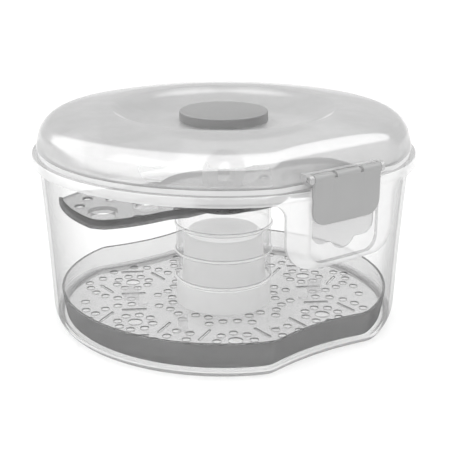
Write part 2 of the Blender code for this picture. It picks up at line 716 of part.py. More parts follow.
def make_handle():
    """A keyhole-shaped grip with a finger slot, on a round foot whose stem plugs into the tray."""
    foot_low = DECK_LOW + DECK_FLOOR + GAP
    foot_top = foot_low + HANDLE_FOOT_THICK
    handle = prism("tray_handle", circle(HANDLE_FOOT_R), "Z", foot_low, foot_top, PALE_GREY)
    middle = HANDLE_TOP - HANDLE_HALF
    flare, sunk = HANDLE_FOOT_R - 0.003, foot_top - 0.001
    grip = [(-flare, sunk), (flare, sunk), (HANDLE_NECK, HANDLE_NECK_Z)]
    for step in range(15):
        out = compass(math.radians(-28 + 236 * step / 14)) * HANDLE_HALF
        grip.append((out.x, middle + out.y))
    grip.append((-HANDLE_NECK, HANDLE_NECK_Z))
    half = HANDLE_THICK / 2
    join_or_cut(handle, prism("handle_grip", grip, "X", -half, half, PALE_GREY), "UNION")
    low, high = HANDLE_SLOT
    slot = rounded([
        (-HANDLE_SLOT_HALF, low, 0.003), (HANDLE_SLOT_HALF, low, 0.003),
        (HANDLE_SLOT_HALF, high, 0.0075), (-HANDLE_SLOT_HALF, high, 0.0075),
    ])
    join_or_cut(handle, prism("handle_slot", slot, "X", -0.01, 0.01, PALE_GREY), "DIFFERENCE")
    plug = circle(DECK_STEM_R, sides=16)
    stem = prism("handle_stem", plug, "Z", BOSS_LOW + 0.001, foot_low + 0.001, PALE_GREY)
    join_or_cut(handle, stem, "UNION")
    return handle


make_container()
make_lid()
make_knob()
make_clip("right", 0.0)
make_clip("left", math.pi)
make_lower_tray()
make_cone()
make_sleeve()
make_upper_tray()
make_handle()
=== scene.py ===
"""The looks of the bottle steriliser: fine meshes and see-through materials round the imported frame.

Metres, +Z up, in the part's own frame. The clips are on the X axis and the front is towards -Y.
"""

import json
import math

import bmesh
import bpy
from mathutils import Matrix, Vector


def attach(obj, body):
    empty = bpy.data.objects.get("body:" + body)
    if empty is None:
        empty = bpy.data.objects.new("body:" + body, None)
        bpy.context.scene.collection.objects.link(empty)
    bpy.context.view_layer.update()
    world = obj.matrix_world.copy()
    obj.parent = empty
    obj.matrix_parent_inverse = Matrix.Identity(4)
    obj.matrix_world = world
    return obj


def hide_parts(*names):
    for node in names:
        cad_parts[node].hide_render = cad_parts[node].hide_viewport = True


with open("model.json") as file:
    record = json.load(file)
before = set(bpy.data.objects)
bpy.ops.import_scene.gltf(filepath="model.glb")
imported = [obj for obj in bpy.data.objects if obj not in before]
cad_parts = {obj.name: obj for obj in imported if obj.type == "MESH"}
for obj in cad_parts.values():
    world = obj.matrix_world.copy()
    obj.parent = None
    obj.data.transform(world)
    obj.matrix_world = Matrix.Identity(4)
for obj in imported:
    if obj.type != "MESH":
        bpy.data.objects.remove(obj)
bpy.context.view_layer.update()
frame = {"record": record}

BODIES = {node: body for body, nodes in frame["record"]["behaviour"]["bodies"].items() for node in nodes}

# Camera: the eye's height, its level distance from the part's axis and its bearing from +X
EYE_HEIGHT = 0.309
EYE_DISTANCE = 0.741
EYE_BEARING = math.radians(-36.0)
EYE_PITCH = math.radians(18.1)
LENS = 80.4
SHIFT_X = 0.0029

# Studio: the even light, the bright ceiling and greyer walls that shiny surfaces mirror instead of
# it, the lamp, the floor, and how many clear layers a ray may cross
SKY = 1.18
CEILING = 3.6
WALLS = 0.75
CEILING_EDGE = (0.46, 0.54)
CEILING_BACK = (-0.32, -0.14)
CEILING_SIDES = 0.7
CEILING_DROOP = 0.25
CEILING_LEAN = 0.15
KEY_PLACE = (-0.2, -1.5, 1.5)
KEY_AIM = (0, 0, 0.1)
KEY_SIZE = (1.2, 0.9)
KEY_POWER = 4
GROUND_HALF = 30
GROUND_Z = -0.0004
GROUND_GREY = 0.98
GROUND_ROUGHNESS = 0.9
CLEAR_LAYERS = 64

# Share of the light on its way to another surface that a see-through plastic lets by untouched
LIGHT_LET_BY = 0.75

# Slants between which a see-through plastic's colour turns to the grey of its edge-on painted sheen
SHEEN_EDGE = (0.86, 0.95)

# Noises in the plastics: how fine each is, and the share that it adds or takes away
HAZE_SCALE = 38.0
HAZE_SWING = 0.06
POLISH_SCALE = 260.0
POLISH_SWING = 0.15
RIPPLE_SCALE = 55.0
TONE_SCALE = 30.0
TONE_SWING = 0.025
SATIN_SCALE = 420.0
SATIN_SWING = 0.12
GRAIN_SCALE = 900.0
GRAIN_STRENGTH = 0.5
GRAIN_DEPTH = 0.00003
NOISE_MIDDLE = (0.3, 0.7)

# The thin reflection on see-through plastic: it grows with this power of the slant
SHINE_SCALE = 300.0
SHINE_ROUGHNESS = (0.03, 0.07)
SHINE_POWER = 5.0
SHINE_WITHIN = 0.3

GAP = 0.0003

# Tub: outer radius at each height, from the underside to the flange
WALL = 0.0024
TUB_PROFILE = [
    (0.0000, 0.1261), (0.0007, 0.1272), (0.0030, 0.1291), (0.0070, 0.1309), (0.0120, 0.1320),
    (0.0240, 0.1326), (0.0600, 0.1342), (0.1000, 0.1365), (0.1120, 0.1373), (0.1190, 0.1379),
    (0.1242, 0.1383),
]
TUB_BITE_ANGLE = math.radians(21.5)
TUB_HOLLOW = 0.005
HOLLOW_FADES_FROM = 0.100
BOTTOM_EDGE_TOP = 0.0040
FLOOR = 0.0024
INSIDE_FROM = 0.009
FLOOR_PROFILE = [(0.0080, 0.1286), (0.0050, 0.1276), (0.0034, 0.1262), (FLOOR, 0.1238)]
BASE_TOP = 0.0062
BASE_R = 0.1250

# Flange round the top of the tub, and the upstand that the lid sits on
FLANGE_LOW = 0.1242
FLANGE_TOP = 0.1311
FLANGE_R = 0.1438
FLANGE_CHORD = 0.1304
FLANGE_BULGE = 0.0082
FLANGE_EASE = 0.0008
FLANGE_CORNERS = (0.0009, 0.0012)
UPSTAND_TOP = 0.1344
UPSTAND_R = 0.1387
UPSTAND_CHORD = 0.1296
UPSTAND_CORNER = 0.0006

# Grip panel that hangs from the flange across each bite, with a pocket for the clip
PANEL_HALF = 0.0475
PANEL_LOW = 0.078
PANEL_CORNER = 0.020
PANEL_FILLET = 0.010
PANEL_THICK = 0.0026
PANEL_TOOL_X = (0.11, 0.15)
RECESS_HALF = 0.0296
RECESS_LOW = 0.081
RECESS_CORNER = 0.010
RECESS_X = 0.1338
RECESS_TOOL_X = 0.16
POCKET_WALL = 0.0020
POCKET_DEPTH = 0.006
POCKET_FACES_FROM = 0.075
POCKET_FRONT_X = 0.1362
WEB_LOW = 0.089
WEB_STEPS_Z = (0.119, 0.112, 0.100)
CATCH_HALF = 0.0268
CATCH_Z = (0.0929, 0.113)
CATCH_CORNER = 0.008
CATCH_TAB_R = 0.011
CATCH_TAB_Z = 0.0976
CATCH_PROUD = 0.001

# Lid
LID_THICK = 0.0022
LID_LOW = 0.1349
LID_PROFILE = [
    (0.1349, 0.1394), (0.1384, 0.1392), (0.1466, 0.1369), (0.1500, 0.1349), (0.1530, 0.1324),
    (0.1553, 0.1294), (0.1569, 0.1256), (0.1578, 0.1209), (0.1592, 0.1102), (0.1607, 0.0950),
    (0.1608, 0.0850), (0.1592, 0.0810), (0.1552, 0.0745), (0.1515, 0.0660), (0.1487, 0.0550),
    (0.1475, 0.0410), (0.1483, 0.0330), (0.1497, 0.0290),
]
FACET_CHORD = 0.1302
FACET_BELOW_R = 0.105
FACET_LEAN = 0.353
FACET_TURN = 47.0
FACET_TURNS_FROM = 0.150
UNDERSIDE_FROM = 0.139
STEM_HOLE_R = 0.0083
BEAD_LOW = 0.1295
BEAD_R = 0.1357
BEAD_THICK = 0.0019
BEAD_ROOM = 0.0008
BEAD_EASE = 0.0004

# Knob in the middle of the lid
KNOB_R = 0.0332
KNOB_LOW = 0.1500
KNOB_TOP = 0.1576
STEM_R = 0.0080
BARB_R = 0.0100
BARB_DEPTH = 0.003
BARB_TAPER = 0.001
KNOB_CORNERS = (0.0014, 0.0006)

# Clips and their hinges
HINGE_X = 0.1358
HINGE_Z = 0.1383
BARREL_R = 0.0031
CLIP_HALF = 0.0289
CLIP_LOW = 0.107
CLIP_BACK_X = 0.1355
CLIP_FRONT_X = 0.1388
CLIP_BULGE = 0.0006
CLIP_CORNER = 0.010
CLIP_TOOL_X = (0.12, 0.15)
CLIP_EASE = 0.0009
BARREL_EASE = 0.0004
PIP_R = 0.0018
PIP_LENGTH = 0.0030
LUG_START = 0.0293
LUG_THICK = 0.0033
LUG_REACH = 0.0026
LUG_CORNERS = (0.0022, 0.0026)
LUG_EASE = 0.0003
SHELF_X = 0.1322
SHELF_TOP = 0.1408
SLOT_AT = 0.0115
SLOT_WIDTH = 0.0026

# Lower tray, whose floor is thinner than the CAD's so that its holes read as clean rims
TRAY_LOW = 0.0046
TRAY_TOP = 0.0239
TRAY_LOW_R = 0.1231
TRAY_TOP_R = 0.1262
TRAY_LOW_CHORD = 0.1150
TRAY_TOP_CHORD = 0.1192
TRAY_HOLLOW = 0.0055
TRAY_WALL = 0.002
TRAY_FLOOR = 0.0020
TRAY_THIN_FLOOR = 0.0012
TRAY_CORNERS = (0.0010, 0.0008, 0.0016)
STATION_R = 0.082
STATION_ANGLES = [math.radians(30 + 60 * i) for i in range(6)]
DRAIN_R = 0.0033
DRAIN_GAP = 0.0022
DRAIN_TO_RIM = 0.005
DRAIN_TO_FOOT = 0.001
STATION_HOLE_R = 0.0055
FOOT_R = 0.004
FOOT_AT = 0.064
SPOKE_ANGLES = [math.radians(60 * i) for i in range(6)]
FINNED_SPOKES = (1, 2, 4, 5)
FIN_R = 0.073
FIN_HALF = 0.006
FIN_THICK = 0.0018
FIN_TOP = 0.0186
STATION_RINGS = ((0.0135, 8, 0.0), (0.0355, 20, 0.5))
FLOOR_RINGS = ((0.1090, 40), (0.0985, 42), (0.0410, 24))
CHEVRON_AT = 0.0245
CHEVRON_HALF_LONG = 0.0095
CHEVRON_HALF_WIDE = 0.0009
CHEVRON_TURNS = (1, 2, 4, 5)

# Cone and sleeve at the centre
CONE_BASE_R = 0.0368
CONE_LEDGE_Z = 0.0253
CONE_NECK_R = 0.0328
CONE_TOP_R = 0.0300
CONE_TOP = 0.0645
CONE_TOP_DROP = 0.003
CONE_THICK = 0.0018
SLEEVE_R = 0.0368
SLEEVE_THICK = 0.0016
SLEEVE_TOP = 0.0917
SHOULDER_OUTSIDE = (0.0840, 0.0862, 0.0880)
SHOULDER_INSIDE = (0.0832, 0.0866)
RIDGE_PROUD = 0.0016
RIDGE_HALF = 0.0018
RIDGE_STEPS = 8
RIDGES = (0.0275, 0.0490, 0.0700)
NECK_R = 0.0242

# Shares of a ridge's height above which the sleeve's faces take the painted highlight of a crest or the
# painted shade of a flank
HIGHLIGHT_ABOVE = 0.55
FLANK_SHADE_ABOVE = 0.04

# Upper tray and its handle
DECK_LOW = 0.0920
DECK_FLOOR = 0.0018
DECK_TOP = 0.0985
DECK_RIM = 0.0020
DECK_KERB = 0.0005
BLADE_R = 0.1250
BLADE_ARC = (-116, 33)
BLADE_STEPS = 32
RIM_STEPS = 4
HUB_R = 0.050
HUB_ARC = (-52, 104)
HUB_STEPS = 25
BOSS_R = 0.0220
BOSS_LOW = 0.0820
DECK_STEM_R = 0.0085
RING_R = 0.0088
RING_WALL = 0.0018
RING_HEIGHT = 0.003
RING_MARGIN = 0.001
RING_HOLES = ((-0.003, -0.104), (-0.003, -0.067))
SMALL_HOLE_R = 0.0038
SMALL_HOLES = ((-0.032, -0.107), (-0.034, -0.080), (0.0155, -0.086), (-0.046, -0.093), (0.016, -0.052))
HANDLE_HALF = 0.018
HANDLE_THICK = 0.008
HANDLE_NECK = 0.014
HANDLE_NECK_Z = 0.1015
HANDLE_TOP = 0.1265
HANDLE_FOOT_R = 0.020
HANDLE_FOOT_THICK = 0.0025
HANDLE_SLOT_HALF = 0.008
HANDLE_SLOT = (0.1005, 0.1190)
HANDLE_SLOT_CORNERS = (0.003, 0.0075)
HANDLE_ARC = (-28, 236)
HANDLE_STEPS = 48
HANDLE_EASE = 0.0010

# Steps round a rounded corner and round a turned piece
CORNER_STEPS = 12
ROUND_SIDES = 160

# Degrees between the points of a level loop, closer together at the corners of the bites
PLAN_STEP = 1.5
PLAN_FINE_STEP = 0.5
PLAN_FINE = (12, 27)

# The bites lie within this angle of the X axis, and their corners are blended over this length
BITE_WITHIN = math.radians(60)
SOFT_CORNER = 0.001

# How much tools overlap what they cut or join, and how far a face may lie off its named place
OVERLAP = 0.001
HALF_OVERLAP = 0.0005
NEAR = 0.0002


# ------------------------------ camera, lights and floor


def add_object(name, data):
    """A new object in the scene."""
    obj = bpy.data.objects.new(name, data)
    bpy.context.scene.collection.objects.link(obj)
    return obj


def aim(obj, look):
    """Turn a camera or a lamp to look along this vector."""
    obj.rotation_mode = "QUATERNION"
    obj.rotation_quaternion = look.to_track_quat("-Z", "Y")


def make_camera():
    """The camera at the photograph's viewing angle."""
    camera = add_object("camera", bpy.data.cameras.new("camera"))
    bpy.context.scene.camera = camera
    camera.data.lens = LENS
    camera.data.shift_x = SHIFT_X
    camera.data.clip_start = 0.01
    camera.data.clip_end = 60
    out = Vector((math.cos(EYE_BEARING), math.sin(EYE_BEARING), 0))
    camera.location = out * EYE_DISTANCE + Vector((0, 0, EYE_HEIGHT))
    aim(camera, -out * math.cos(EYE_PITCH) - Vector((0, 0, math.sin(EYE_PITCH))))


def make_key_light():
    """A plain rectangular soft light above and in front of the part."""
    light = bpy.data.lights.new("key_light", "AREA")
    light.shape = "RECTANGLE"
    light.size, light.size_y = KEY_SIZE
    light.energy = KEY_POWER
    lamp = add_object("key_light", light)
    lamp.location = KEY_PLACE
    aim(lamp, Vector(KEY_AIM) - Vector(KEY_PLACE))


def make_sky():
    """An even white sky; in place of it, shiny surfaces mirror a bright ceiling and greyer walls."""
    world = bpy.data.worlds.new("studio")
    bpy.context.scene.world = world
    world.use_nodes = True
    tree = world.node_tree
    sky = tree.nodes["Background"]
    sky.inputs["Color"].default_value = (1, 1, 1, 1)
    towards = tree.nodes.new("ShaderNodeTexCoord").outputs["Generated"]
    split = add_node(tree, "ShaderNodeSeparateXYZ", {0: towards})
    out_x, out_y = math.cos(EYE_BEARING), math.sin(EYE_BEARING)
    ahead = weighted(tree, split.outputs["X"], out_x, split.outputs["Y"], out_y)
    rightward = weighted(tree, split.outputs["X"], -out_y, split.outputs["Y"], out_x)
    aside = maths(tree, "ABSOLUTE", rightward)
    droop = weighted(tree, aside, CEILING_DROOP, rightward, -CEILING_LEAN)
    frontal = spread(tree, weighted(tree, ahead, 1.0, aside, CEILING_SIDES), 0.0, 1.0, *CEILING_BACK)
    overhead = spread(tree, maths(tree, "ADD", split.outputs["Z"], droop), 0.0, 1.0, *CEILING_EDGE)
    panel = maths(tree, "MULTIPLY", frontal, overhead)
    mirrored = tree.nodes.new("ShaderNodeLightPath").outputs["Is Glossy Ray"]
    extra = maths(tree, "MULTIPLY", spread(tree, panel, WALLS - SKY, CEILING - SKY), mirrored)
    tree.links.new(maths(tree, "ADD", extra, SKY), sky.inputs["Strength"])


def make_floor():
    """A plain pale floor without any shine."""
    mesh = bmesh.new()
    bmesh.ops.create_grid(mesh, x_segments=1, y_segments=1, size=GROUND_HALF)
    data = bpy.data.meshes.new("floor")
    mesh.to_mesh(data)
    mesh.free()
    ground = add_object("floor", data)
    ground.location.z = GROUND_Z
    pale = bpy.data.materials.new("pale_floor")
    pale.use_nodes = True
    shader = pale.node_tree.nodes["Principled BSDF"]
    shader.inputs["Base Color"].default_value = (GROUND_GREY, GROUND_GREY, GROUND_GREY, 1)
    shader.inputs["Roughness"].default_value = GROUND_ROUGHNESS
    shader.inputs["Specular IOR Level"].default_value = 0.0
    data.materials.append(pale)


def make_studio():
    """The sky, the floor and one soft light in front, with room for many clear layers in line."""
    make_sky()
    make_key_light()
    make_floor()
    scene = bpy.context.scene
    scene.view_settings.view_transform = "Standard"
    scene.cycles.transparent_max_bounces = CLEAR_LAYERS
    scene.cycles.transparent_min_bounces = CLEAR_LAYERS


# ------------------------------ materials


def start_material(name):
    """An empty node material, its tree and its output."""
    material = bpy.data.materials.new(name)
    material.use_nodes = True
    tree = material.node_tree
    tree.nodes.clear()
    output = tree.nodes.new("ShaderNodeOutputMaterial")
    return material, tree, output


def add_node(tree, kind, inputs):
    """A shader node; each input, by name or number, is given a value or another node's socket."""
    node = tree.nodes.new(kind)
    for key, value in inputs.items():
        if isinstance(value, bpy.types.NodeSocket):
            tree.links.new(value, node.inputs[key])
        else:
            node.inputs[key].default_value = value
    return node


def maths(tree, operation, *operands, clamp=False):
    """A Math node; each operand is a number or a socket."""
    node = add_node(tree, "ShaderNodeMath", dict(enumerate(operands)))
    node.operation = operation
    node.use_clamp = clamp
    return node.outputs[0]


def weighted(tree, first, first_share, second, second_share):
    """The weighted sum of two sockets."""
    one = maths(tree, "MULTIPLY", first, first_share)
    return maths(tree, "ADD", one, maths(tree, "MULTIPLY", second, second_share))


def spread(tree, value, low, high, start=0.0, end=1.0):
    """Value mapped from start..end to low..high."""
    ends = {"From Min": start, "From Max": end, "To Min": low, "To Max": high, "Value": value}
    return add_node(tree, "ShaderNodeMapRange", ends).outputs["Result"]


def noise(tree, scale, detail=2.0):
    """Noise in the part's own coordinates."""
    spot = tree.nodes.new("ShaderNodeTexCoord").outputs["Object"]
    inputs = {"Scale": scale, "Detail": detail, "Vector": spot}
    return add_node(tree, "ShaderNodeTexNoise", inputs).outputs["Fac"]


def around(middle, swing):
    """The lowest and highest value of something that a noise swings by this share."""
    return middle * (1 - swing), middle * (1 + swing)


def bump(tree, height, strength, distance):
    """A bump normal from a height."""
    inputs = {"Strength": strength, "Distance": distance, "Height": height}
    return add_node(tree, "ShaderNodeBump", inputs).outputs["Normal"]


def mixed(tree, share, first, second):
    """Two shaders mixed, with this share of the second."""
    return add_node(tree, "ShaderNodeMixShader", {0: share, 1: first, 2: second}).outputs[0]


def see_through(name, veil, cover, tint, mirror=(0.01, 0.3), roughness=0.25, curve=3.0,
                wave=0.00004, within=1.0, gleam=0.2):
    """A thin see-through plastic; each pair is the value face on and edge on.

    veil is the grey of the haze in it, cover how much of that shows, tint how much light each of
    its surfaces lets through, and mirror how much it reflects. A surface met from within the
    plastic keeps the share of its cover and tint that is given by within. roughness and gleam are
    the haze's own roughness and specular level, curve is the power of the slant that leads from
    face on to edge on, and wave is the depth of the surface's ripple.
    """
    material, tree, output = start_material(name)
    slant = add_node(tree, "ShaderNodeLayerWeight", {"Blend": 0.5}).outputs["Facing"]
    bent = maths(tree, "POWER", slant, curve)
    leaving = tree.nodes.new("ShaderNodeNewGeometry").outputs["Backfacing"]
    share = spread(tree, leaving, 1.0, within)
    haze = spread(tree, noise(tree, HAZE_SCALE, 3.0), *around(1.0, HAZE_SWING), *NOISE_MIDDLE)
    covered = maths(tree, "MULTIPLY", spread(tree, bent, *cover), haze, clamp=True)
    covered = maths(tree, "MULTIPLY", covered, share)
    lost = maths(tree, "MULTIPLY", spread(tree, bent, 1 - tint[0], 1 - tint[1]), share)
    clear = add_node(tree, "ShaderNodeBsdfTransparent", {"Color": maths(tree, "SUBTRACT", 1.0, lost)})
    ripple = bump(tree, noise(tree, RIPPLE_SCALE, 1.0), 1.0, wave)
    # The haze's grey turns towards its edge-on value as a painted sheen, paler on the frosted lid for the
    # glints round its dish
    milk = add_node(tree, "ShaderNodeBsdfPrincipled", {
        "Base Color": spread(tree, slant, *veil, *SHEEN_EDGE),
        "Specular IOR Level": gleam,
        "Roughness": spread(tree, noise(tree, POLISH_SCALE), *around(roughness, POLISH_SWING)),
        "Normal": ripple,
    })
    body = mixed(tree, covered, clear.outputs[0], milk.outputs[0])
    gloss = add_node(tree, "ShaderNodeBsdfGlossy", {
        "Color": (1, 1, 1, 1),
        "Roughness": spread(tree, noise(tree, SHINE_SCALE), *SHINE_ROUGHNESS),
        "Normal": ripple,
    })
    shine = spread(tree, maths(tree, "POWER", slant, SHINE_POWER), *mirror)
    shine = maths(tree, "MULTIPLY", shine, spread(tree, leaving, 1.0, SHINE_WITHIN))
    whole = mixed(tree, shine, body, gloss.outputs[0])
    path = tree.nodes.new("ShaderNodeLightPath")
    onward = maths(tree, "MAXIMUM", path.outputs["Is Shadow Ray"], path.outputs["Is Diffuse Ray"])
    let_by = maths(tree, "MULTIPLY", onward, LIGHT_LET_BY)
    nothing = tree.nodes.new("ShaderNodeBsdfTransparent").outputs[0]
    tree.links.new(mixed(tree, let_by, whole, nothing), output.inputs["Surface"])
    return material


def satin(name, grey, roughness):
    """An opaque moulded plastic with a fine even grain."""
    material, tree, output = start_material(name)
    shader = add_node(tree, "ShaderNodeBsdfPrincipled", {
        "Base Color": spread(tree, noise(tree, TONE_SCALE, 3.0), *around(grey, TONE_SWING), *NOISE_MIDDLE),
        "Roughness": spread(tree, noise(tree, SATIN_SCALE), *around(roughness, SATIN_SWING)),
        "Normal": bump(tree, noise(tree, GRAIN_SCALE), GRAIN_STRENGTH, GRAIN_DEPTH),
    })
    tree.links.new(shader.outputs[0], output.inputs["Surface"])
    return material


CLEAR = see_through("clear_plastic", (0.44, 0.44), (0.01, 0.26), (0.995, 0.80), (0.01, 0.15))
HAZY = see_through("clear_plastic_thick", (0.80, 0.80), (0.40, 0.65), (0.98, 0.88), (0.02, 0.4))
LEDGE = see_through("flange_ledge", (0.40, 0.54), (0.40, 0.75), (0.94, 0.75))
BOTTOM = see_through("tub_bottom_edge", (0.34, 0.34), (0.85, 0.90), (0.80, 0.70), gleam=0)
# Its paler edge-on grey is a painted sheen for the glints round the dish
FROSTED = see_through("frosted_plastic", (0.48, 0.80), (0.42, 0.80), (0.97, 0.84), (0.08, 0.3),
                      curve=1.0, wave=0.00001, within=0.7)
# Painted shade: the dark line of the gap between the lid and the flange
LIP_SHADE_LINE = see_through("frosted_plastic_lip_painted_shade", (0.06, 0.08), (0.85, 0.92), (0.50, 0.35))
SMOKE = see_through("smoke_plastic", (0.58, 0.58), (0.30, 0.40), (0.98, 0.94), (0.01, 0.2),
                    wave=0, within=0.5)
# The lower tray's outside faces: real smoky tint deepened by painted shade
SMOKE_WALL_SHADE = see_through("smoke_plastic_wall_painted_shade", (0.14, 0.09), (0.82, 0.94), (0.60, 0.25), (0.01, 0.04),
                         within=0.1, wave=0, gleam=0)
SMOKE_EDGE = see_through("smoke_plastic_edge", (0.10, 0.10), (0.30, 0.40), (0.40, 0.30), within=0.6, wave=0)
DECK = see_through("smoke_plastic_deck", (0.28, 0.28), (0.16, 0.28), (0.84, 0.72), (0.01, 0.2), wave=0)
# The upper tray's rim, boss and upright faces: real smoky tint deepened by painted shade
DECK_WALL_SHADE = see_through("smoke_plastic_deck_wall_painted_shade", (0.09, 0.08), (0.25, 0.40), (0.32, 0.14), (0.01, 0.1),
                        within=0.5, wave=0, gleam=0)
MILKY = see_through("milky_plastic", (0.65, 0.65), (0.85, 0.95), (0.99, 0.95), roughness=0.4)
# Painted light: a paler copy of the milky plastic for the cone's upward faces, which lie under the upper
# tray
CONE_TOP_LIGHT = see_through("milky_plastic_top_painted_light", (0.92, 0.92), (0.85, 0.95), (0.99, 0.95), roughness=0.4)
SLEEVE = see_through("sleeve_plastic_and_ridge_shading", (0.52, 0.48), (0.05, 0.24), (0.985, 0.88), (0.01, 0.15), curve=4.0)
# Painted highlight for the sleeve's ridge crests, and painted shade for their flanks
RIDGE_HIGHLIGHT = see_through("sleeve_ridge_painted_highlight", (0.74, 0.74), (0.60, 0.70), (0.97, 0.80), (0.01, 0.2),
                    within=0.3, curve=4.0)
RIDGE_FLANK_SHADE = see_through("sleeve_ridge_flank_painted_shade", (0.34, 0.34), (0.45, 0.60), (0.92, 0.70), (0.01, 0.2),
                     within=0.3, curve=4.0)
GREY = satin("grey_satin_plastic", 0.33, 0.42)
KNOB = satin("grey_satin_plastic_knob", 0.265, 0.42)
# Painted shade: a darker copy of the knob's grey for its upright side
KNOB_SIDE_SHADE = satin("grey_satin_plastic_side_painted_shade", 0.195, 0.42)
PALE = see_through("pale_grey_plastic", (0.52, 0.52), (0.40, 0.70), (0.95, 0.85), roughness=0.4)


# ------------------------------ mesh tools


def skin(loops, ring_closed=False):
    """A closed mesh through loops of points, each anticlockwise from above, going up the outside."""
    mesh = bmesh.new()
    rows = [[mesh.verts.new(point) for point in loop] for loop in loops]
    following = rows[1:] + (rows[:1] if ring_closed else [])
    for low, high in zip(rows, following):
        for i in range(len(low)):
            j = (i + 1) % len(low)
            mesh.faces.new((low[i], low[j], high[j], high[i]))
    if not ring_closed:
        mesh.faces.new(reversed(rows[0]))
        mesh.faces.new(rows[-1])
    return mesh


def place(name, mesh, *materials):
    """A finished bmesh as one object, smooth except at its edges."""
    data = bpy.data.meshes.new(name)
    mesh.to_mesh(data)
    mesh.free()
    for material in materials:
        data.materials.append(material)
    data.set_sharp_from_angle(angle=math.radians(35))
    return add_object(name, data)


def settle(obj):
    """Apply an object's modifiers to its mesh."""
    seen = obj.evaluated_get(bpy.context.evaluated_depsgraph_get())
    data = bpy.data.meshes.new_from_object(seen)
    obj.modifiers.clear()
    old, obj.data = obj.data, data
    bpy.data.meshes.remove(old)


def join_or_cut(target, tool, operation):
    """Join a tool to a piece or cut it away, at once, and delete the tool."""
    modifier = target.modifiers.new("boolean", "BOOLEAN")
    modifier.operation = operation
    modifier.object = tool
    settle(target)
    bpy.data.objects.remove(tool)


def soften(obj, width, segments=2, angle=40):
    """Round an object's sharp edges."""
    modifier = obj.modifiers.new("bevel", "BEVEL")
    modifier.width = width
    modifier.segments = segments
    modifier.limit_method = "ANGLE"
    modifier.angle_limit = math.radians(angle)
    settle(obj)


def shade(obj, sharp):
    """Shade smooth again after cutting, except at edges of more than this many degrees."""
    obj.data.shade_smooth()
    obj.data.set_sharp_from_angle(angle=math.radians(sharp))


def paint(obj, choose):
    """Give each face the material that choose returns for it, one of those that the object has."""
    slots = {material.name: number for number, material in enumerate(obj.data.materials)}
    for face in obj.data.polygons:
        face.material_index = slots[choose(face).name]


def plan_angles():
    """Polar angles round an outline, closer together at the corners of the bites."""
    quarter = []
    angle = 0.0
    while angle < 90:
        quarter.append(angle)
        angle += PLAN_FINE_STEP if PLAN_FINE[0] <= angle < PLAN_FINE[1] else PLAN_STEP
    right = [-a for a in reversed(quarter[1:])] + quarter + [90]
    half = [math.radians(a) for a in right]
    return half + [a + math.pi for a in half]


PLAN_ANGLES = plan_angles()


def bitten_radius(angle, radius, chord, hollow):
    """Distance from the axis to an outline of this radius, bitten at both ends of the X axis."""
    if chord is None:
        return radius
    off_axis = abs(math.remainder(angle, math.pi))
    if off_axis > BITE_WITHIN or chord >= radius + 5 * SOFT_CORNER:
        return radius
    half_angle = math.acos(min(chord / radius, 0.999))
    along = math.tan(off_axis) / math.tan(half_angle)
    reach = (chord - hollow * max(0.0, 1 - along**2)) / math.cos(off_axis)
    nearer, further = sorted((radius, reach))
    return nearer - SOFT_CORNER * math.log1p(math.exp((nearer - further) / SOFT_CORNER))


def ring(z, radius, chord=None, hollow=0.0):
    """A level loop of points on a bitten or plain round outline."""
    points = []
    for angle in PLAN_ANGLES:
        r = bitten_radius(angle, radius, chord, hollow)
        points.append((r * math.cos(angle), r * math.sin(angle), z))
    return points


def rounded(corners, steps=CORNER_STEPS, closed=True):
    """A flat outline through (a, b, radius) corners, each rounded by an arc."""
    points = []
    for i, (a, b, radius) in enumerate(corners):
        here = Vector((a, b))
        if radius == 0 or (not closed and i in (0, len(corners) - 1)):
            points.append((a, b))
            continue
        before = (Vector(corners[i - 1][:2]) - here).normalized()
        after = (Vector(corners[(i + 1) % len(corners)][:2]) - here).normalized()
        half = before.angle(after) / 2
        centre = here + (before + after).normalized() * radius / math.sin(half)
        start = here + before * radius / math.tan(half) - centre
        end = here + after * radius / math.tan(half) - centre
        sweep = math.atan2(start.x * end.y - start.y * end.x, start.dot(end))
        for step in range(steps + 1):
            arm = Matrix.Rotation(sweep * step / steps, 2) @ start
            points.append(tuple(centre + arm))
    return points


def flowing(points, steps):
    """A smooth Catmull-Rom line through points of any number of coordinates."""
    line = []
    for i in range(len(points) - 1):
        p0, p1 = Vector(points[max(i - 1, 0)]), Vector(points[i])
        p2, p3 = Vector(points[i + 1]), Vector(points[min(i + 2, len(points) - 1)])
        for step in range(steps):
            t = step / steps
            at = 0.5 * (2 * p1 + (p2 - p0) * t + (2 * p0 - 5 * p1 + 4 * p2 - p3) * t**2
                        + (3 * p1 - p0 - 3 * p2 + p3) * t**3)
            line.append(tuple(at))
    return line + [points[-1]]


def prism(name, outline, axis, low, high, material, turn=0.0):
    """An outline pushed along an axis from low to high, then turned about Z."""
    to_world = {
        "X": lambda a, b, c: (c, a, b),
        "Y": lambda a, b, c: (b, c, a),
        "Z": lambda a, b, c: (a, b, c),
    }[axis]
    area = sum(p[0] * q[1] - q[0] * p[1] for p, q in zip(outline, outline[1:] + outline[:1]))
    if area < 0:
        outline = outline[::-1]
    mesh = skin([[to_world(a, b, c) for a, b in outline] for c in (low, high)])
    bmesh.ops.rotate(mesh, verts=mesh.verts, cent=(0, 0, 0), matrix=Matrix.Rotation(turn, 3, "Z"))
    return place(name, mesh, material)


def circle(radius, centre=(0.0, 0.0), sides=48):
    """A flat regular outline."""
    turns = [2 * math.pi * i / sides for i in range(sides)]
    return [(centre[0] + radius * math.cos(t), centre[1] + radius * math.sin(t)) for t in turns]


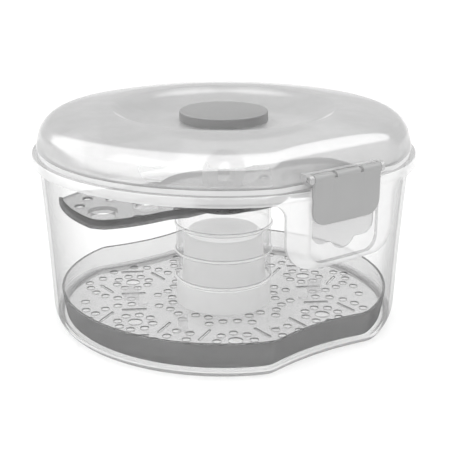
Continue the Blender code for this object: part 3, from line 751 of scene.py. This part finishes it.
def turned(name, profile, *materials):
    """A solid of revolution: the (radius, z) profile goes down the outside and up the inside."""
    mesh = bmesh.new()
    poles = [mesh.verts.new((0, 0, z)) if r == 0 else None for r, z in profile]
    grid = []
    for i in range(ROUND_SIDES):
        turn = 2 * math.pi * i / ROUND_SIDES
        column = [(r * math.cos(turn), r * math.sin(turn), z) for r, z in profile]
        grid.append([poles[k] or mesh.verts.new(point) for k, point in enumerate(column)])
    count = len(profile)
    spans = range(count - 1) if poles[0] and poles[-1] else range(count)
    for i in range(ROUND_SIDES):
        here, beside = grid[i], grid[(i + 1) % ROUND_SIDES]
        for k in spans:
            m = (k + 1) % count
            corners = []
            for vert in (here[k], here[m], beside[m], beside[k]):
                if vert not in corners:
                    corners.append(vert)
            mesh.faces.new(corners)
    return place(name, mesh, *materials)


def gather(name, outlines, low, high, material):
    """One tool of many separate upright prisms."""
    mesh = bmesh.new()
    for outline in outlines:
        piece = skin([[(x, y, z) for x, y in outline] for z in (low, high)])
        data = bpy.data.meshes.new(name)
        piece.to_mesh(data)
        piece.free()
        mesh.from_mesh(data)
        bpy.data.meshes.remove(data)
    return place(name, mesh, material)


def stand_for(piece, node):
    """The piece replaces a CAD node and rides on its body."""
    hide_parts(node)
    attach(piece, BODIES[node])


# ------------------------------ the tub


def tub_hollow(z):
    """How far the middle of the bite is hollowed: nothing at the flange."""
    fade = (z - HOLLOW_FADES_FROM) / (FLANGE_LOW - HOLLOW_FADES_FROM)
    return TUB_HOLLOW * (1 - max(0.0, fade) ** 2)


def make_container():
    """The tub: a tapered bitten wall, a flange with eased edges, and a grip panel at each bite."""
    shrink = math.cos(TUB_BITE_ANGLE)
    wall = flowing(TUB_PROFILE, 6)
    outside = [ring(z, r, r * shrink, tub_hollow(z)) for z, r in wall]
    lip = rounded([
        (FLANGE_R - 0.003, FLANGE_LOW, 0), (FLANGE_R, FLANGE_LOW, FLANGE_CORNERS[0]),
        (FLANGE_R - FLANGE_EASE, FLANGE_TOP, FLANGE_CORNERS[1]), (UPSTAND_R + 0.0002, FLANGE_TOP, 0),
    ], 5, closed=False)
    rim = [ring(z, r, FLANGE_CHORD + r - FLANGE_R, -FLANGE_BULGE) for r, z in lip[1:-1]]
    stand = rounded([
        (UPSTAND_R, FLANGE_TOP, 0), (UPSTAND_R, UPSTAND_TOP, UPSTAND_CORNER),
        (UPSTAND_R - WALL, UPSTAND_TOP, UPSTAND_CORNER), (UPSTAND_R - WALL, FLANGE_TOP, 0),
    ], 4, closed=False)
    rim += [ring(z, r, UPSTAND_CHORD + r - UPSTAND_R) for r, z in stand[:-1]]
    inside = []
    for z, r in reversed([(z, r) for z, r in wall if z > INSIDE_FROM]):
        inside.append(ring(z, r - WALL, r * shrink - WALL, tub_hollow(z)))
    for z, r in flowing(FLOOR_PROFILE, 4):
        inside.append(ring(z, r, r * shrink, TUB_HOLLOW))
    tub = place("tub", skin(outside + rim + inside), CLEAR, HAZY, LEDGE, BOTTOM)
    for turn in (0.0, math.pi):
        add_grip_panel(tub, turn)
    soften(tub, 0.0004, 2, 50)
    paint(tub, tub_plastic)
    shade(tub, 30)
    stand_for(tub, "container")


def tub_plastic(face):
    """Dark at the bottom edge, grey on level tops, the catch and cut edges, and hazy where thick."""
    x, y, z = face.center
    base_chord = BASE_R * math.cos(TUB_BITE_ANGLE)
    base_r = bitten_radius(math.atan2(y, x), BASE_R, base_chord, TUB_HOLLOW)
    in_base = z < BASE_TOP and math.hypot(x, y) > base_r
    if in_base and z < BOTTOM_EDGE_TOP:
        return BOTTOM
    in_band = abs(y) < PANEL_HALF + PANEL_FILLET and z > PANEL_LOW - NEAR
    in_panel = in_band and abs(x) > panel_face(y) - PANEL_THICK - NEAR
    edgeways = abs(face.normal.x) < 0.6 and z < FLANGE_LOW - NEAR
    on_catch = abs(abs(x) - RECESS_X - CATCH_PROUD) < 0.0003
    in_catch = on_catch and abs(y) < CATCH_HALF and z < CATCH_Z[1]
    level_top = z > FLANGE_TOP - 0.0003 and face.normal.z > 0.7
    if level_top or in_catch or (in_panel and edgeways):
        return LEDGE
    beside_recess = abs(y) < RECESS_HALF + POCKET_WALL + NEAR
    in_pocket = beside_recess and abs(x) > RECESS_X - POCKET_DEPTH and z > POCKET_FACES_FROM
    if z > FLANGE_LOW - NEAR or in_panel or in_pocket or in_base:
        return HAZY
    return CLEAR


def panel_face(y):
    """X of the grip panel's face, which is the flange's own bulged bite."""
    span = FLANGE_CHORD * math.tan(math.acos(FLANGE_CHORD / FLANGE_R))
    return FLANGE_CHORD + FLANGE_BULGE * (1 - (y / span) ** 2)


def add_grip_panel(tub, turn):
    """A U-shaped panel under the flange with a pocket for the clip, tied back to the tub's wall."""
    reach = PANEL_HALF + PANEL_FILLET
    across = [reach * (i / 20 - 1) for i in range(41)]
    band = [(panel_face(y), y) for y in across]
    band += [(panel_face(y) - PANEL_THICK, y) for y in reversed(across)]
    joined_at = FLANGE_LOW + OVERLAP
    spare = 0.01
    panel = prism("panel", band, "Z", PANEL_LOW - spare, joined_at, HAZY, turn)
    outline = rounded([
        (-reach - spare, joined_at + spare, 0), (-reach - spare, FLANGE_LOW, 0),
        (-PANEL_HALF, FLANGE_LOW, PANEL_FILLET), (-PANEL_HALF, PANEL_LOW, PANEL_CORNER),
        (PANEL_HALF, PANEL_LOW, PANEL_CORNER), (PANEL_HALF, FLANGE_LOW, PANEL_FILLET),
        (reach + spare, FLANGE_LOW, 0), (reach + spare, joined_at + spare, 0),
    ])
    join_or_cut(panel, prism("outline", outline, "X", *PANEL_TOOL_X, HAZY, turn), "INTERSECT")
    join_or_cut(tub, panel, "UNION")
    wall = POCKET_WALL
    block = u_outline(RECESS_HALF + wall, RECESS_LOW - wall, joined_at, RECESS_CORNER + wall)
    join_or_cut(tub, prism("pocket", block, "X", RECESS_X - wall, POCKET_FRONT_X, HAZY, turn), "UNION")
    for y in (-RECESS_HALF - wall, RECESS_HALF):
        join_or_cut(tub, prism("web", web_outline(y + wall / 2), "Y", y, y + wall, HAZY, turn), "UNION")
    recess = u_outline(RECESS_HALF, RECESS_LOW, UPSTAND_TOP + 0.005, RECESS_CORNER)
    join_or_cut(tub, prism("recess", recess, "X", RECESS_X, RECESS_TOOL_X, HAZY, turn), "DIFFERENCE")
    sunk, proud = RECESS_X - 0.0008, RECESS_X + CATCH_PROUD
    join_or_cut(tub, prism("catch", catch_outline(), "X", sunk, proud, HAZY, turn), "UNION")


def u_outline(half, low, high, corner):
    """An upright outline with square top corners and rounded bottom corners."""
    return rounded([(-half, high, 0), (-half, low, corner), (half, low, corner), (half, high, 0)])


def web_outline(y):
    """Side view of a web: its back edge lies in the middle of the tub's wall at this distance along Y."""
    back = []
    top = FLANGE_LOW + HALF_OVERLAP
    for z in (top, *WEB_STEPS_Z, WEB_LOW):
        back.append((z, wall_face(y, z) - WALL / 2))
    front = RECESS_X - HALF_OVERLAP
    return back + [(WEB_LOW, front), (top, front)]


def wall_face(y, z):
    """X of the tub's outer wall in the bite at this place."""
    radius = next(r for height, r in reversed(TUB_PROFILE) if height <= z)
    chord = radius * math.cos(TUB_BITE_ANGLE)
    return chord - tub_hollow(min(z, FLANGE_LOW)) * (1 - (y / (radius * math.sin(TUB_BITE_ANGLE))) ** 2)


def catch_outline():
    """A low plate behind the clip with a round finger tab below its middle."""
    low, high = CATCH_Z
    start = math.asin((CATCH_TAB_Z - low) / CATCH_TAB_R)
    tab = []
    for step in range(25):
        turn = math.pi + start + (math.pi - 2 * start) * step / 24
        tab.append((CATCH_TAB_R * math.cos(turn), CATCH_TAB_Z + CATCH_TAB_R * math.sin(turn), 0))
    left = [(-CATCH_HALF, high, 0), (-CATCH_HALF, low, CATCH_CORNER)]
    right = [(CATCH_HALF, low, CATCH_CORNER), (CATCH_HALF, high, 0)]
    return rounded(left + tab + right)


# ------------------------------ lid and knob


def facet_chord(z):
    """Distance from the axis to the lid's leaning flat above each clip, which turns inwards at its top."""
    turned_in = FACET_TURN * max(0.0, z - FACET_TURNS_FROM) ** 2
    return FACET_CHORD - FACET_LEAN * (z - LID_LOW) - turned_in


def inset_profile(profile, thickness):
    """The (z, radius) profile moved inwards along its normals."""
    moved = []
    for i, (z, r) in enumerate(profile):
        before = profile[max(i - 1, 0)]
        after = profile[min(i + 1, len(profile) - 1)]
        along = Vector((after[1] - before[1], after[0] - before[0])).normalized()
        moved.append((z + thickness * along.x, r - thickness * along.y))
    return moved


def make_lid():
    """A domed shell with a dished middle, a locating bead, and hinge lugs at both flats."""
    facet_thick = LID_THICK * math.hypot(1, FACET_LEAN)
    crest = max(z for z, r in LID_PROFILE)
    dome = [(min(z, crest), r) for z, r in flowing(LID_PROFILE, 5)]
    lip_r = LID_PROFILE[0][1]
    outside = [
        ring(LID_LOW, lip_r - 0.0005, FACET_CHORD - 0.0005),
        ring(LID_LOW + 0.0002, lip_r - 0.0001, FACET_CHORD - 0.0001),
    ]
    for z, r in dome[1:]:
        outside.append(ring(z, r, facet_chord(z) if r > FACET_BELOW_R else None))
    top = dome[-1][0]
    outside.append(ring(top, STEM_HOLE_R))
    under = []
    followed = [(z, r) for z, r in dome if z > UNDERSIDE_FROM]
    for z, r in reversed(inset_profile(followed, LID_THICK)):
        under.append(ring(z, r, facet_chord(z) - facet_thick if r > FACET_BELOW_R else None))
    bead_chord = UPSTAND_CHORD - WALL - BEAD_ROOM
    inner_r, inner_chord = BEAD_R - BEAD_THICK, bead_chord - BEAD_THICK
    bead = [
        ring(LID_LOW + 0.003, inner_r, inner_chord),
        ring(BEAD_LOW + BEAD_EASE, inner_r, inner_chord),
        ring(BEAD_LOW, inner_r + BEAD_EASE, inner_chord + BEAD_EASE),
        ring(BEAD_LOW, BEAD_R - BEAD_EASE, bead_chord - BEAD_EASE),
        ring(BEAD_LOW + BEAD_EASE, BEAD_R, bead_chord),
        ring(LID_LOW, BEAD_R, bead_chord),
    ]
    hole = [ring(top - LID_THICK, STEM_HOLE_R)]
    lid = place("lid_dome", skin(hole + under + bead + outside, ring_closed=True), FROSTED, LIP_SHADE_LINE)
    end, low = LUG_START + LUG_THICK, LID_LOW + 0.0001
    shelf = [
        (low, facet_root(low)), (low, SHELF_X),
        (SHELF_TOP, SHELF_X), (SHELF_TOP, facet_root(SHELF_TOP)),
    ]
    for turn in (0.0, math.pi):
        join_or_cut(lid, prism("shelf", shelf, "Y", -end, end, FROSTED, turn), "UNION")
        for y in (-end, LUG_START):
            add_lug(lid, y, turn)
    paint(lid, lid_plastic_and_shade_line)
    shade(lid, 30)
    stand_for(lid, "lid")


def lid_plastic_and_shade_line(face):
    """Painted shade on the lip's underside, which shows as a dark line in the gap above the flange."""
    return LIP_SHADE_LINE if face.center.z < LID_LOW + NEAR and face.normal.z < -0.5 else FROSTED


def facet_root(z):
    """X of a place inside the thickness of the lid's flat."""
    return facet_chord(z) - LID_THICK / 2


def add_lug(lid, y, turn):
    """A lug on the lid's flat with a hole for one of the clip's pips."""
    low, high = LID_LOW + 0.0001, HINGE_Z + BARREL_R
    tip = HINGE_X + LUG_REACH
    outline = rounded([
        (low, facet_root(low), 0), (low, tip, LUG_CORNERS[0]),
        (high, tip, LUG_CORNERS[1]), (high, facet_root(high), 0),
    ])
    lug = prism("lug", outline, "Y", y, y + LUG_THICK, FROSTED, turn)
    soften(lug, LUG_EASE)
    join_or_cut(lid, lug, "UNION")
    hole = circle(PIP_R + GAP, (HINGE_Z, HINGE_X), 32)
    start, end = y - HALF_OVERLAP, y + LUG_THICK + HALF_OVERLAP
    join_or_cut(lid, prism("hole", hole, "Y", start, end, FROSTED, turn), "DIFFERENCE")


def make_knob():
    """A flat round knob with a stem that snaps through the lid."""
    under_lid = LID_PROFILE[-1][0] - LID_THICK - GAP
    edge = rounded([
        (0, KNOB_TOP, 0), (KNOB_R, KNOB_TOP, KNOB_CORNERS[0]),
        (KNOB_R + 0.0002, KNOB_LOW, KNOB_CORNERS[1]), (STEM_R, KNOB_LOW, 0),
    ], 6, closed=False)
    profile = edge + [
        (STEM_R, under_lid), (BARB_R, under_lid),
        (STEM_R - BARB_TAPER, under_lid - BARB_DEPTH), (0, under_lid - BARB_DEPTH),
    ]
    knob = turned("knob_disc", profile, KNOB, KNOB_SIDE_SHADE)
    # The upright side takes the darker copy, as painted shade
    paint(knob, lambda face: KNOB_SIDE_SHADE if abs(face.normal.z) < 0.5 else KNOB)
    stand_for(knob, "lid_knob")


# ------------------------------ clips


def make_clip(side, turn):
    """A rounded bulged flap that hangs from three barrels on a bar with a pip at each end."""
    flap = u_outline(CLIP_HALF, CLIP_LOW, HINGE_Z - 0.0006, CLIP_CORNER)
    across = [CLIP_HALF * 1.05 * (i / 12 - 1) for i in range(25)]
    bulged = [(CLIP_FRONT_X - CLIP_BULGE * (y / CLIP_HALF) ** 2, y) for y in across]
    bulged += [(CLIP_BACK_X, across[-1]), (CLIP_BACK_X, across[0])]
    clip = prism(f"{side}_clip_flap", bulged, "Z", CLIP_LOW - 0.005, HINGE_Z - 0.0004, GREY, turn)
    join_or_cut(clip, prism("flap", flap, "X", *CLIP_TOOL_X, GREY, turn), "INTERSECT")
    soften(clip, CLIP_EASE, 4, 50)
    barrel = circle(BARREL_R - 0.00005, (HINGE_Z, HINGE_X), 48)
    inner, outer, end = SLOT_AT - SLOT_WIDTH / 2, SLOT_AT + SLOT_WIDTH / 2, CLIP_HALF - 0.0001
    for low, high in ((-end, -outer), (-inner, inner), (outer, end)):
        roll = prism("barrel", barrel, "Y", low, high, GREY, turn)
        soften(roll, BARREL_EASE, 2, 50)
        join_or_cut(clip, roll, "UNION")
    reach = CLIP_HALF + PIP_LENGTH
    pip = circle(PIP_R, (HINGE_Z, HINGE_X), 32)
    join_or_cut(clip, prism("pips", pip, "Y", -reach, reach, GREY, turn), "UNION")
    shade(clip, 40)
    stand_for(clip, f"clip_{side}")


# ------------------------------ lower tray


def clear_of_walls(x, y, edge):
    """Whether a drain hole at x, y lies well inside the lower tray's floor."""
    reach = bitten_radius(math.atan2(y, x), TRAY_LOW_R, TRAY_LOW_CHORD, TRAY_HOLLOW)
    inner = CONE_BASE_R - 0.0005
    return inner + edge < math.hypot(x, y) < reach - edge - DRAIN_TO_RIM


def drain_holes():
    """Centres and radii of the lower tray's holes: rings round each station and round the rim."""
    found = []

    def add(x, y, radius):
        room = all(math.hypot(x - a, y - b) > radius + r + DRAIN_GAP for a, b, r in found)
        if room and clear_of_walls(x, y, radius):
            found.append((x, y, radius))

    for middle in STATION_ANGLES:
        add(STATION_R * math.cos(middle), STATION_R * math.sin(middle), STATION_HOLE_R)
    for reach, count, offset in STATION_RINGS:
        for middle in STATION_ANGLES:
            x, y = STATION_R * math.cos(middle), STATION_R * math.sin(middle)
            for i in range(count):
                turn = middle + 2 * math.pi * (i + offset) / count
                add(x + reach * math.cos(turn), y + reach * math.sin(turn), DRAIN_R)
    for radius, count in FLOOR_RINGS:
        for i in range(count):
            turn = 2 * math.pi * (i + 0.5) / count
            add(radius * math.cos(turn), radius * math.sin(turn), DRAIN_R)
    return found


def strip(centre, along, half_long, half_wide):
    """A narrow four-sided outline centred on a point."""
    across = Vector((-along.y, along.x))
    corners = ((-1, -1), (1, -1), (1, 1), (-1, 1))
    return [tuple(centre + along * half_long * a + across * half_wide * b) for a, b in corners]


def compass(angle):
    """The level unit vector at this polar angle."""
    return Vector((math.cos(angle), math.sin(angle)))


def chevron_slots():
    """Outlines of the four narrow slots round each station."""
    strips = []
    for middle in STATION_ANGLES:
        for side in CHEVRON_TURNS:
            out = compass(middle + side * math.pi / 3)
            along = Vector((out.y, -out.x))
            spot = compass(middle) * STATION_R + out * CHEVRON_AT
            strips.append(strip(spot, along, CHEVRON_HALF_LONG, CHEVRON_HALF_WIDE))
    return strips


def make_lower_tray():
    """A bitten tray with a drained floor, six feet and a fin between most stations."""
    floor_top = TRAY_LOW + TRAY_FLOOR
    floor_low = floor_top - TRAY_THIN_FLOOR
    low_corner, top_corner, inner_corner = TRAY_CORNERS
    outline = rounded([
        (TRAY_LOW_R - 0.006, floor_low, 0), (TRAY_LOW_R - 0.004, TRAY_LOW, low_corner),
        (TRAY_LOW_R, TRAY_LOW, low_corner), (TRAY_TOP_R, TRAY_TOP, top_corner),
        (TRAY_TOP_R - TRAY_WALL, TRAY_TOP, top_corner),
        (TRAY_LOW_R - TRAY_WALL, floor_top, inner_corner), (TRAY_LOW_R - 0.008, floor_top, 0),
    ], 5, closed=False)
    loops = [ring(z, r, tray_chord(z) + r - tray_radius(z), TRAY_HOLLOW) for r, z in outline]
    tray = place("drain_tray", skin(loops), SMOKE, SMOKE_WALL_SHADE, SMOKE_EDGE)
    spokes = [compass(angle) for angle in SPOKE_ANGLES]
    feet_at = [out * FOOT_AT for out in spokes]
    feet = [circle(FOOT_R, tuple(spot), 32) for spot in feet_at]
    fins = [strip(spokes[i] * FIN_R, spokes[i], FIN_HALF, FIN_THICK / 2) for i in FINNED_SPOKES]
    join_or_cut(tray, gather("feet", feet, FLOOR + GAP, floor_low + HALF_OVERLAP, SMOKE), "UNION")
    join_or_cut(tray, gather("fins", fins, floor_top - HALF_OVERLAP, FIN_TOP, SMOKE), "UNION")
    holes = []
    for x, y, radius in drain_holes():
        if all(math.hypot(x - a, y - b) > radius + FOOT_R + DRAIN_TO_FOOT for a, b in feet_at):
            holes.append(circle(radius, (x, y), 24))
    drains = gather("drains", holes + chevron_slots(), TRAY_LOW - OVERLAP, floor_top + OVERLAP, SMOKE)
    join_or_cut(tray, drains, "DIFFERENCE")
    paint(tray, tray_plastic_and_wall_shade)
    shade(tray, 35)
    stand_for(tray, "lower_tray")


def tray_plastic_and_wall_shade(face):
    """Smoky on the rim, the bottom edge and the holes' sides; darker on the outside, where the smoky tint
    is deepened by painted shade, and paler inside.
    """
    x, y, z = face.center
    outer_r = bitten_radius(math.atan2(y, x), tray_radius(z), tray_chord(z), TRAY_HOLLOW)
    outer = math.hypot(x, y) > outer_r - TRAY_WALL / 2
    floor_top = TRAY_LOW + TRAY_FLOOR
    in_floor = floor_top - TRAY_THIN_FLOOR < z < floor_top - 0.0001
    drilled = in_floor and abs(face.normal.z) < 0.5 and not outer
    if z > TRAY_TOP - 0.0006 or drilled or (outer and z < TRAY_LOW + 0.0012):
        return SMOKE_EDGE
    return SMOKE_WALL_SHADE if outer else SMOKE


def tray_radius(z):
    """Outer radius of the lower tray's wall at this height."""
    return TRAY_LOW_R + (TRAY_TOP_R - TRAY_LOW_R) * (z - TRAY_LOW) / (TRAY_TOP - TRAY_LOW)


def tray_chord(z):
    """Distance from the axis to the lower tray's bite at this height."""
    return TRAY_LOW_CHORD + (TRAY_TOP_CHORD - TRAY_LOW_CHORD) * (z - TRAY_LOW) / (TRAY_TOP - TRAY_LOW)


# ------------------------------ cone and sleeve


def make_cone():
    """An inverted milky cup with a flared foot and a ledge that carries the sleeve."""
    low = TRAY_LOW + TRAY_FLOOR + GAP
    t = CONE_THICK
    outside = rounded([
        (0, CONE_TOP, 0), (CONE_TOP_R - 0.0035, CONE_TOP, 0.0008),
        (CONE_TOP_R, CONE_TOP - CONE_TOP_DROP, 0.004),
        (CONE_NECK_R, CONE_LEDGE_Z, 0.0005), (CONE_BASE_R - 0.0002, CONE_LEDGE_Z, 0.0015),
        (CONE_BASE_R + 0.0004, low, 0),
    ], 6, closed=False)
    inside = [
        (CONE_BASE_R - t, low), (CONE_BASE_R - t - 0.0004, CONE_LEDGE_Z - t),
        (CONE_NECK_R - t, CONE_LEDGE_Z - t), (CONE_TOP_R - t, CONE_TOP - CONE_TOP_DROP - t),
        (0, CONE_TOP - t),
    ]
    cone = turned("milky_cone", outside + inside, MILKY, CONE_TOP_LIGHT)
    # Upward faces take the paler copy, as painted light
    paint(cone, lambda face: CONE_TOP_LIGHT if face.normal.z > 0.7 else MILKY)
    stand_for(cone, "centre_cone")


def make_sleeve():
    """A clear sleeve with rounded ridges round it, drawn in at its neck to hold the upper tray's boss."""
    low = CONE_LEDGE_Z + GAP
    inner = SLEEVE_R - SLEEVE_THICK
    bottom, middle, top = SHOULDER_OUTSIDE
    outside = rounded([
        (NECK_R, SLEEVE_TOP, 0), (NECK_R, top, 0.001), (SLEEVE_R - 0.002, middle, 0.002),
        (SLEEVE_R, bottom, 0.0015), (SLEEVE_R, RIDGES[-1] + 3 * RIDGE_HALF, 0),
    ], 6, closed=False)
    for z in reversed(RIDGES):
        for step in range(-RIDGE_STEPS, RIDGE_STEPS + 1):
            swell = RIDGE_PROUD * (0.5 + 0.5 * math.cos(math.pi * step / RIDGE_STEPS))
            at = z - RIDGE_HALF * step / RIDGE_STEPS
            if at > low:
                outside.append((SLEEVE_R + swell, at))
    inside = [
        (SLEEVE_R, low), (inner, low), (inner, SHOULDER_INSIDE[0]),
        (BOSS_R + GAP, SHOULDER_INSIDE[1]), (BOSS_R + GAP, SLEEVE_TOP),
    ]
    sleeve = turned("ridged_sleeve", outside + inside, SLEEVE, RIDGE_HIGHLIGHT, RIDGE_FLANK_SHADE)
    paint(sleeve, sleeve_plastic_and_ridge_shading)
    stand_for(sleeve, "centre_sleeve")


def sleeve_plastic_and_ridge_shading(face):
    """Painted highlight on the ridges' crests and painted shade on their flanks."""
    swell = (math.hypot(face.center.x, face.center.y) - SLEEVE_R) / RIDGE_PROUD
    if swell > HIGHLIGHT_ABOVE:
        return RIDGE_HIGHLIGHT
    return RIDGE_FLANK_SHADE if swell > FLANK_SHADE_ABOVE else SLEEVE


# ------------------------------ upper tray and handle


def deck_outline(inset):
    """Plan of the upper tray: a round hub with a broad curved blade at the front and the back.

    Each point is (x, y, share of the rim's full height): the blades' cut ends have no rim.
    """
    half = []
    start, sweep = BLADE_ARC
    for step in range(BLADE_STEPS + 1):
        out = compass(math.radians(start + sweep * step / BLADE_STEPS)) * (BLADE_R - inset)
        half.append((out.x, out.y, min(1.0, step / RIM_STEPS)))
    half += flowing([
        (0.0230 - inset, -0.1180 + inset / 2, 1.0), (0.0268 - inset, -0.1080, 1.0),
        (0.0292 - inset, -0.0970, 1.0), (0.0304 - inset, -0.0850, 1.0),
        (0.0308 - inset, -0.0700, 1.0), (0.0345 - inset, -0.0560 + inset, 1.0),
    ], 4)
    start, sweep = HUB_ARC
    for step in range(1, HUB_STEPS):
        out = compass(math.radians(start + sweep * step / HUB_STEPS)) * (HUB_R - inset)
        half.append((out.x, out.y, 1.0))
    half += flowing([
        (0.0400 - inset, 0.0345, 1.0), (0.0480 - inset, 0.0500, 0.6),
        (0.0585 - inset, 0.0700, 0.0), (0.0655 - inset, 0.0885 - inset / 2, 0.0),
    ], 4)
    return half + [(-x, -y, share) for x, y, share in half]


def make_upper_tray():
    """A rimmed deck with a boss that plugs into the sleeve, and holes in each blade."""
    deck_top = DECK_LOW + DECK_FLOOR
    outer, inner = deck_outline(0.0), deck_outline(DECK_RIM)
    kerb = deck_top + DECK_KERB
    rise = DECK_TOP - kerb
    deck = place("bladed_tray", skin([
        [(x, y, DECK_LOW) for x, y, share in outer],
        [(x, y, kerb + rise * share) for x, y, share in outer],
        [(x, y, kerb + rise * share) for x, y, share in inner],
        [(x, y, deck_top) for x, y, share in inner],
    ]), DECK, DECK_WALL_SHADE)
    soften(deck, 0.0005, 3, 60)
    boss = prism("boss", circle(BOSS_R, sides=96), "Z", BOSS_LOW, DECK_LOW + OVERLAP, DECK)
    join_or_cut(deck, boss, "UNION")
    rings = []
    holes = [circle(DECK_STEM_R + GAP)]
    for sign in (1, -1):
        for x, y in RING_HOLES:
            rings.append(circle(RING_R + RING_WALL, (x * sign, y * sign), 64))
            holes.append(circle(RING_R, (x * sign, y * sign), 64))
        for x, y in SMALL_HOLES:
            holes.append(circle(SMALL_HOLE_R, (x * sign, y * sign), 32))
    collars = gather("rings", rings, deck_top - HALF_OVERLAP, deck_top + RING_HEIGHT, DECK)
    join_or_cut(deck, collars, "UNION")
    drills = gather("holes", holes, BOSS_LOW - OVERLAP, DECK_TOP + OVERLAP, DECK)
    join_or_cut(deck, drills, "DIFFERENCE")
    paint(deck, deck_plastic_and_wall_shade)
    shade(deck, 35)
    stand_for(deck, "upper_tray")


def deck_plastic_and_wall_shade(face):
    """Darker on the rim, the boss and upright faces, except round the collars: a smoky tint deepened by
    painted shade.
    """
    x, y, z = face.center
    reach = RING_R + RING_WALL + RING_MARGIN
    by_ring = any(math.hypot(abs(x) - abs(a), abs(y) - abs(b)) < reach for a, b in RING_HOLES)
    upright = abs(face.normal.z) < 0.6 and not by_ring
    return DECK_WALL_SHADE if upright or z < DECK_LOW - 0.0001 or z > DECK_TOP - 0.0006 else DECK


def make_handle():
    """A keyhole-shaped grip with a finger slot, on a round foot whose stem plugs into the tray."""
    foot_low = DECK_LOW + DECK_FLOOR + GAP
    foot_top = foot_low + HANDLE_FOOT_THICK
    handle = prism("keyhole_handle", circle(HANDLE_FOOT_R, sides=96), "Z", foot_low, foot_top, PALE)
    soften(handle, 0.0006, 3, 50)
    middle = HANDLE_TOP - HANDLE_HALF
    flare = HANDLE_FOOT_R - 0.003
    side = [
        (flare, foot_top + 0.0004), (HANDLE_NECK + 0.0004, HANDLE_NECK_Z - 0.002),
        (HANDLE_NECK, HANDLE_NECK_Z),
    ]
    grip = [(-flare, foot_top - OVERLAP), (flare, foot_top - OVERLAP)] + side
    start, sweep = HANDLE_ARC
    for step in range(HANDLE_STEPS + 1):
        out = compass(math.radians(start + sweep * step / HANDLE_STEPS)) * HANDLE_HALF
        grip.append((out.x, middle + out.y))
    grip += [(-a, b) for a, b in reversed(side)]
    half = HANDLE_THICK / 2
    loop = prism("grip", grip, "X", -half, half, PALE)
    low, high = HANDLE_SLOT
    low_corner, high_corner = HANDLE_SLOT_CORNERS
    slot = rounded([
        (-HANDLE_SLOT_HALF, low, low_corner), (HANDLE_SLOT_HALF, low, low_corner),
        (HANDLE_SLOT_HALF, high, high_corner), (-HANDLE_SLOT_HALF, high, high_corner),
    ])
    join_or_cut(loop, prism("slot", slot, "X", -0.01, 0.01, PALE), "DIFFERENCE")
    soften(loop, HANDLE_EASE, 4, 50)
    join_or_cut(handle, loop, "UNION")
    stem = prism("stem", circle(DECK_STEM_R), "Z", BOSS_LOW + 0.001, foot_low + OVERLAP, PALE)
    join_or_cut(handle, stem, "UNION")
    shade(handle, 40)
    stand_for(handle, "tray_handle")


make_camera()
make_studio()
make_container()
make_lid()
make_knob()
make_clip("right", 0.0)
make_clip("left", math.pi)
make_lower_tray()
make_cone()
make_sleeve()
make_upper_tray()
make_handle()
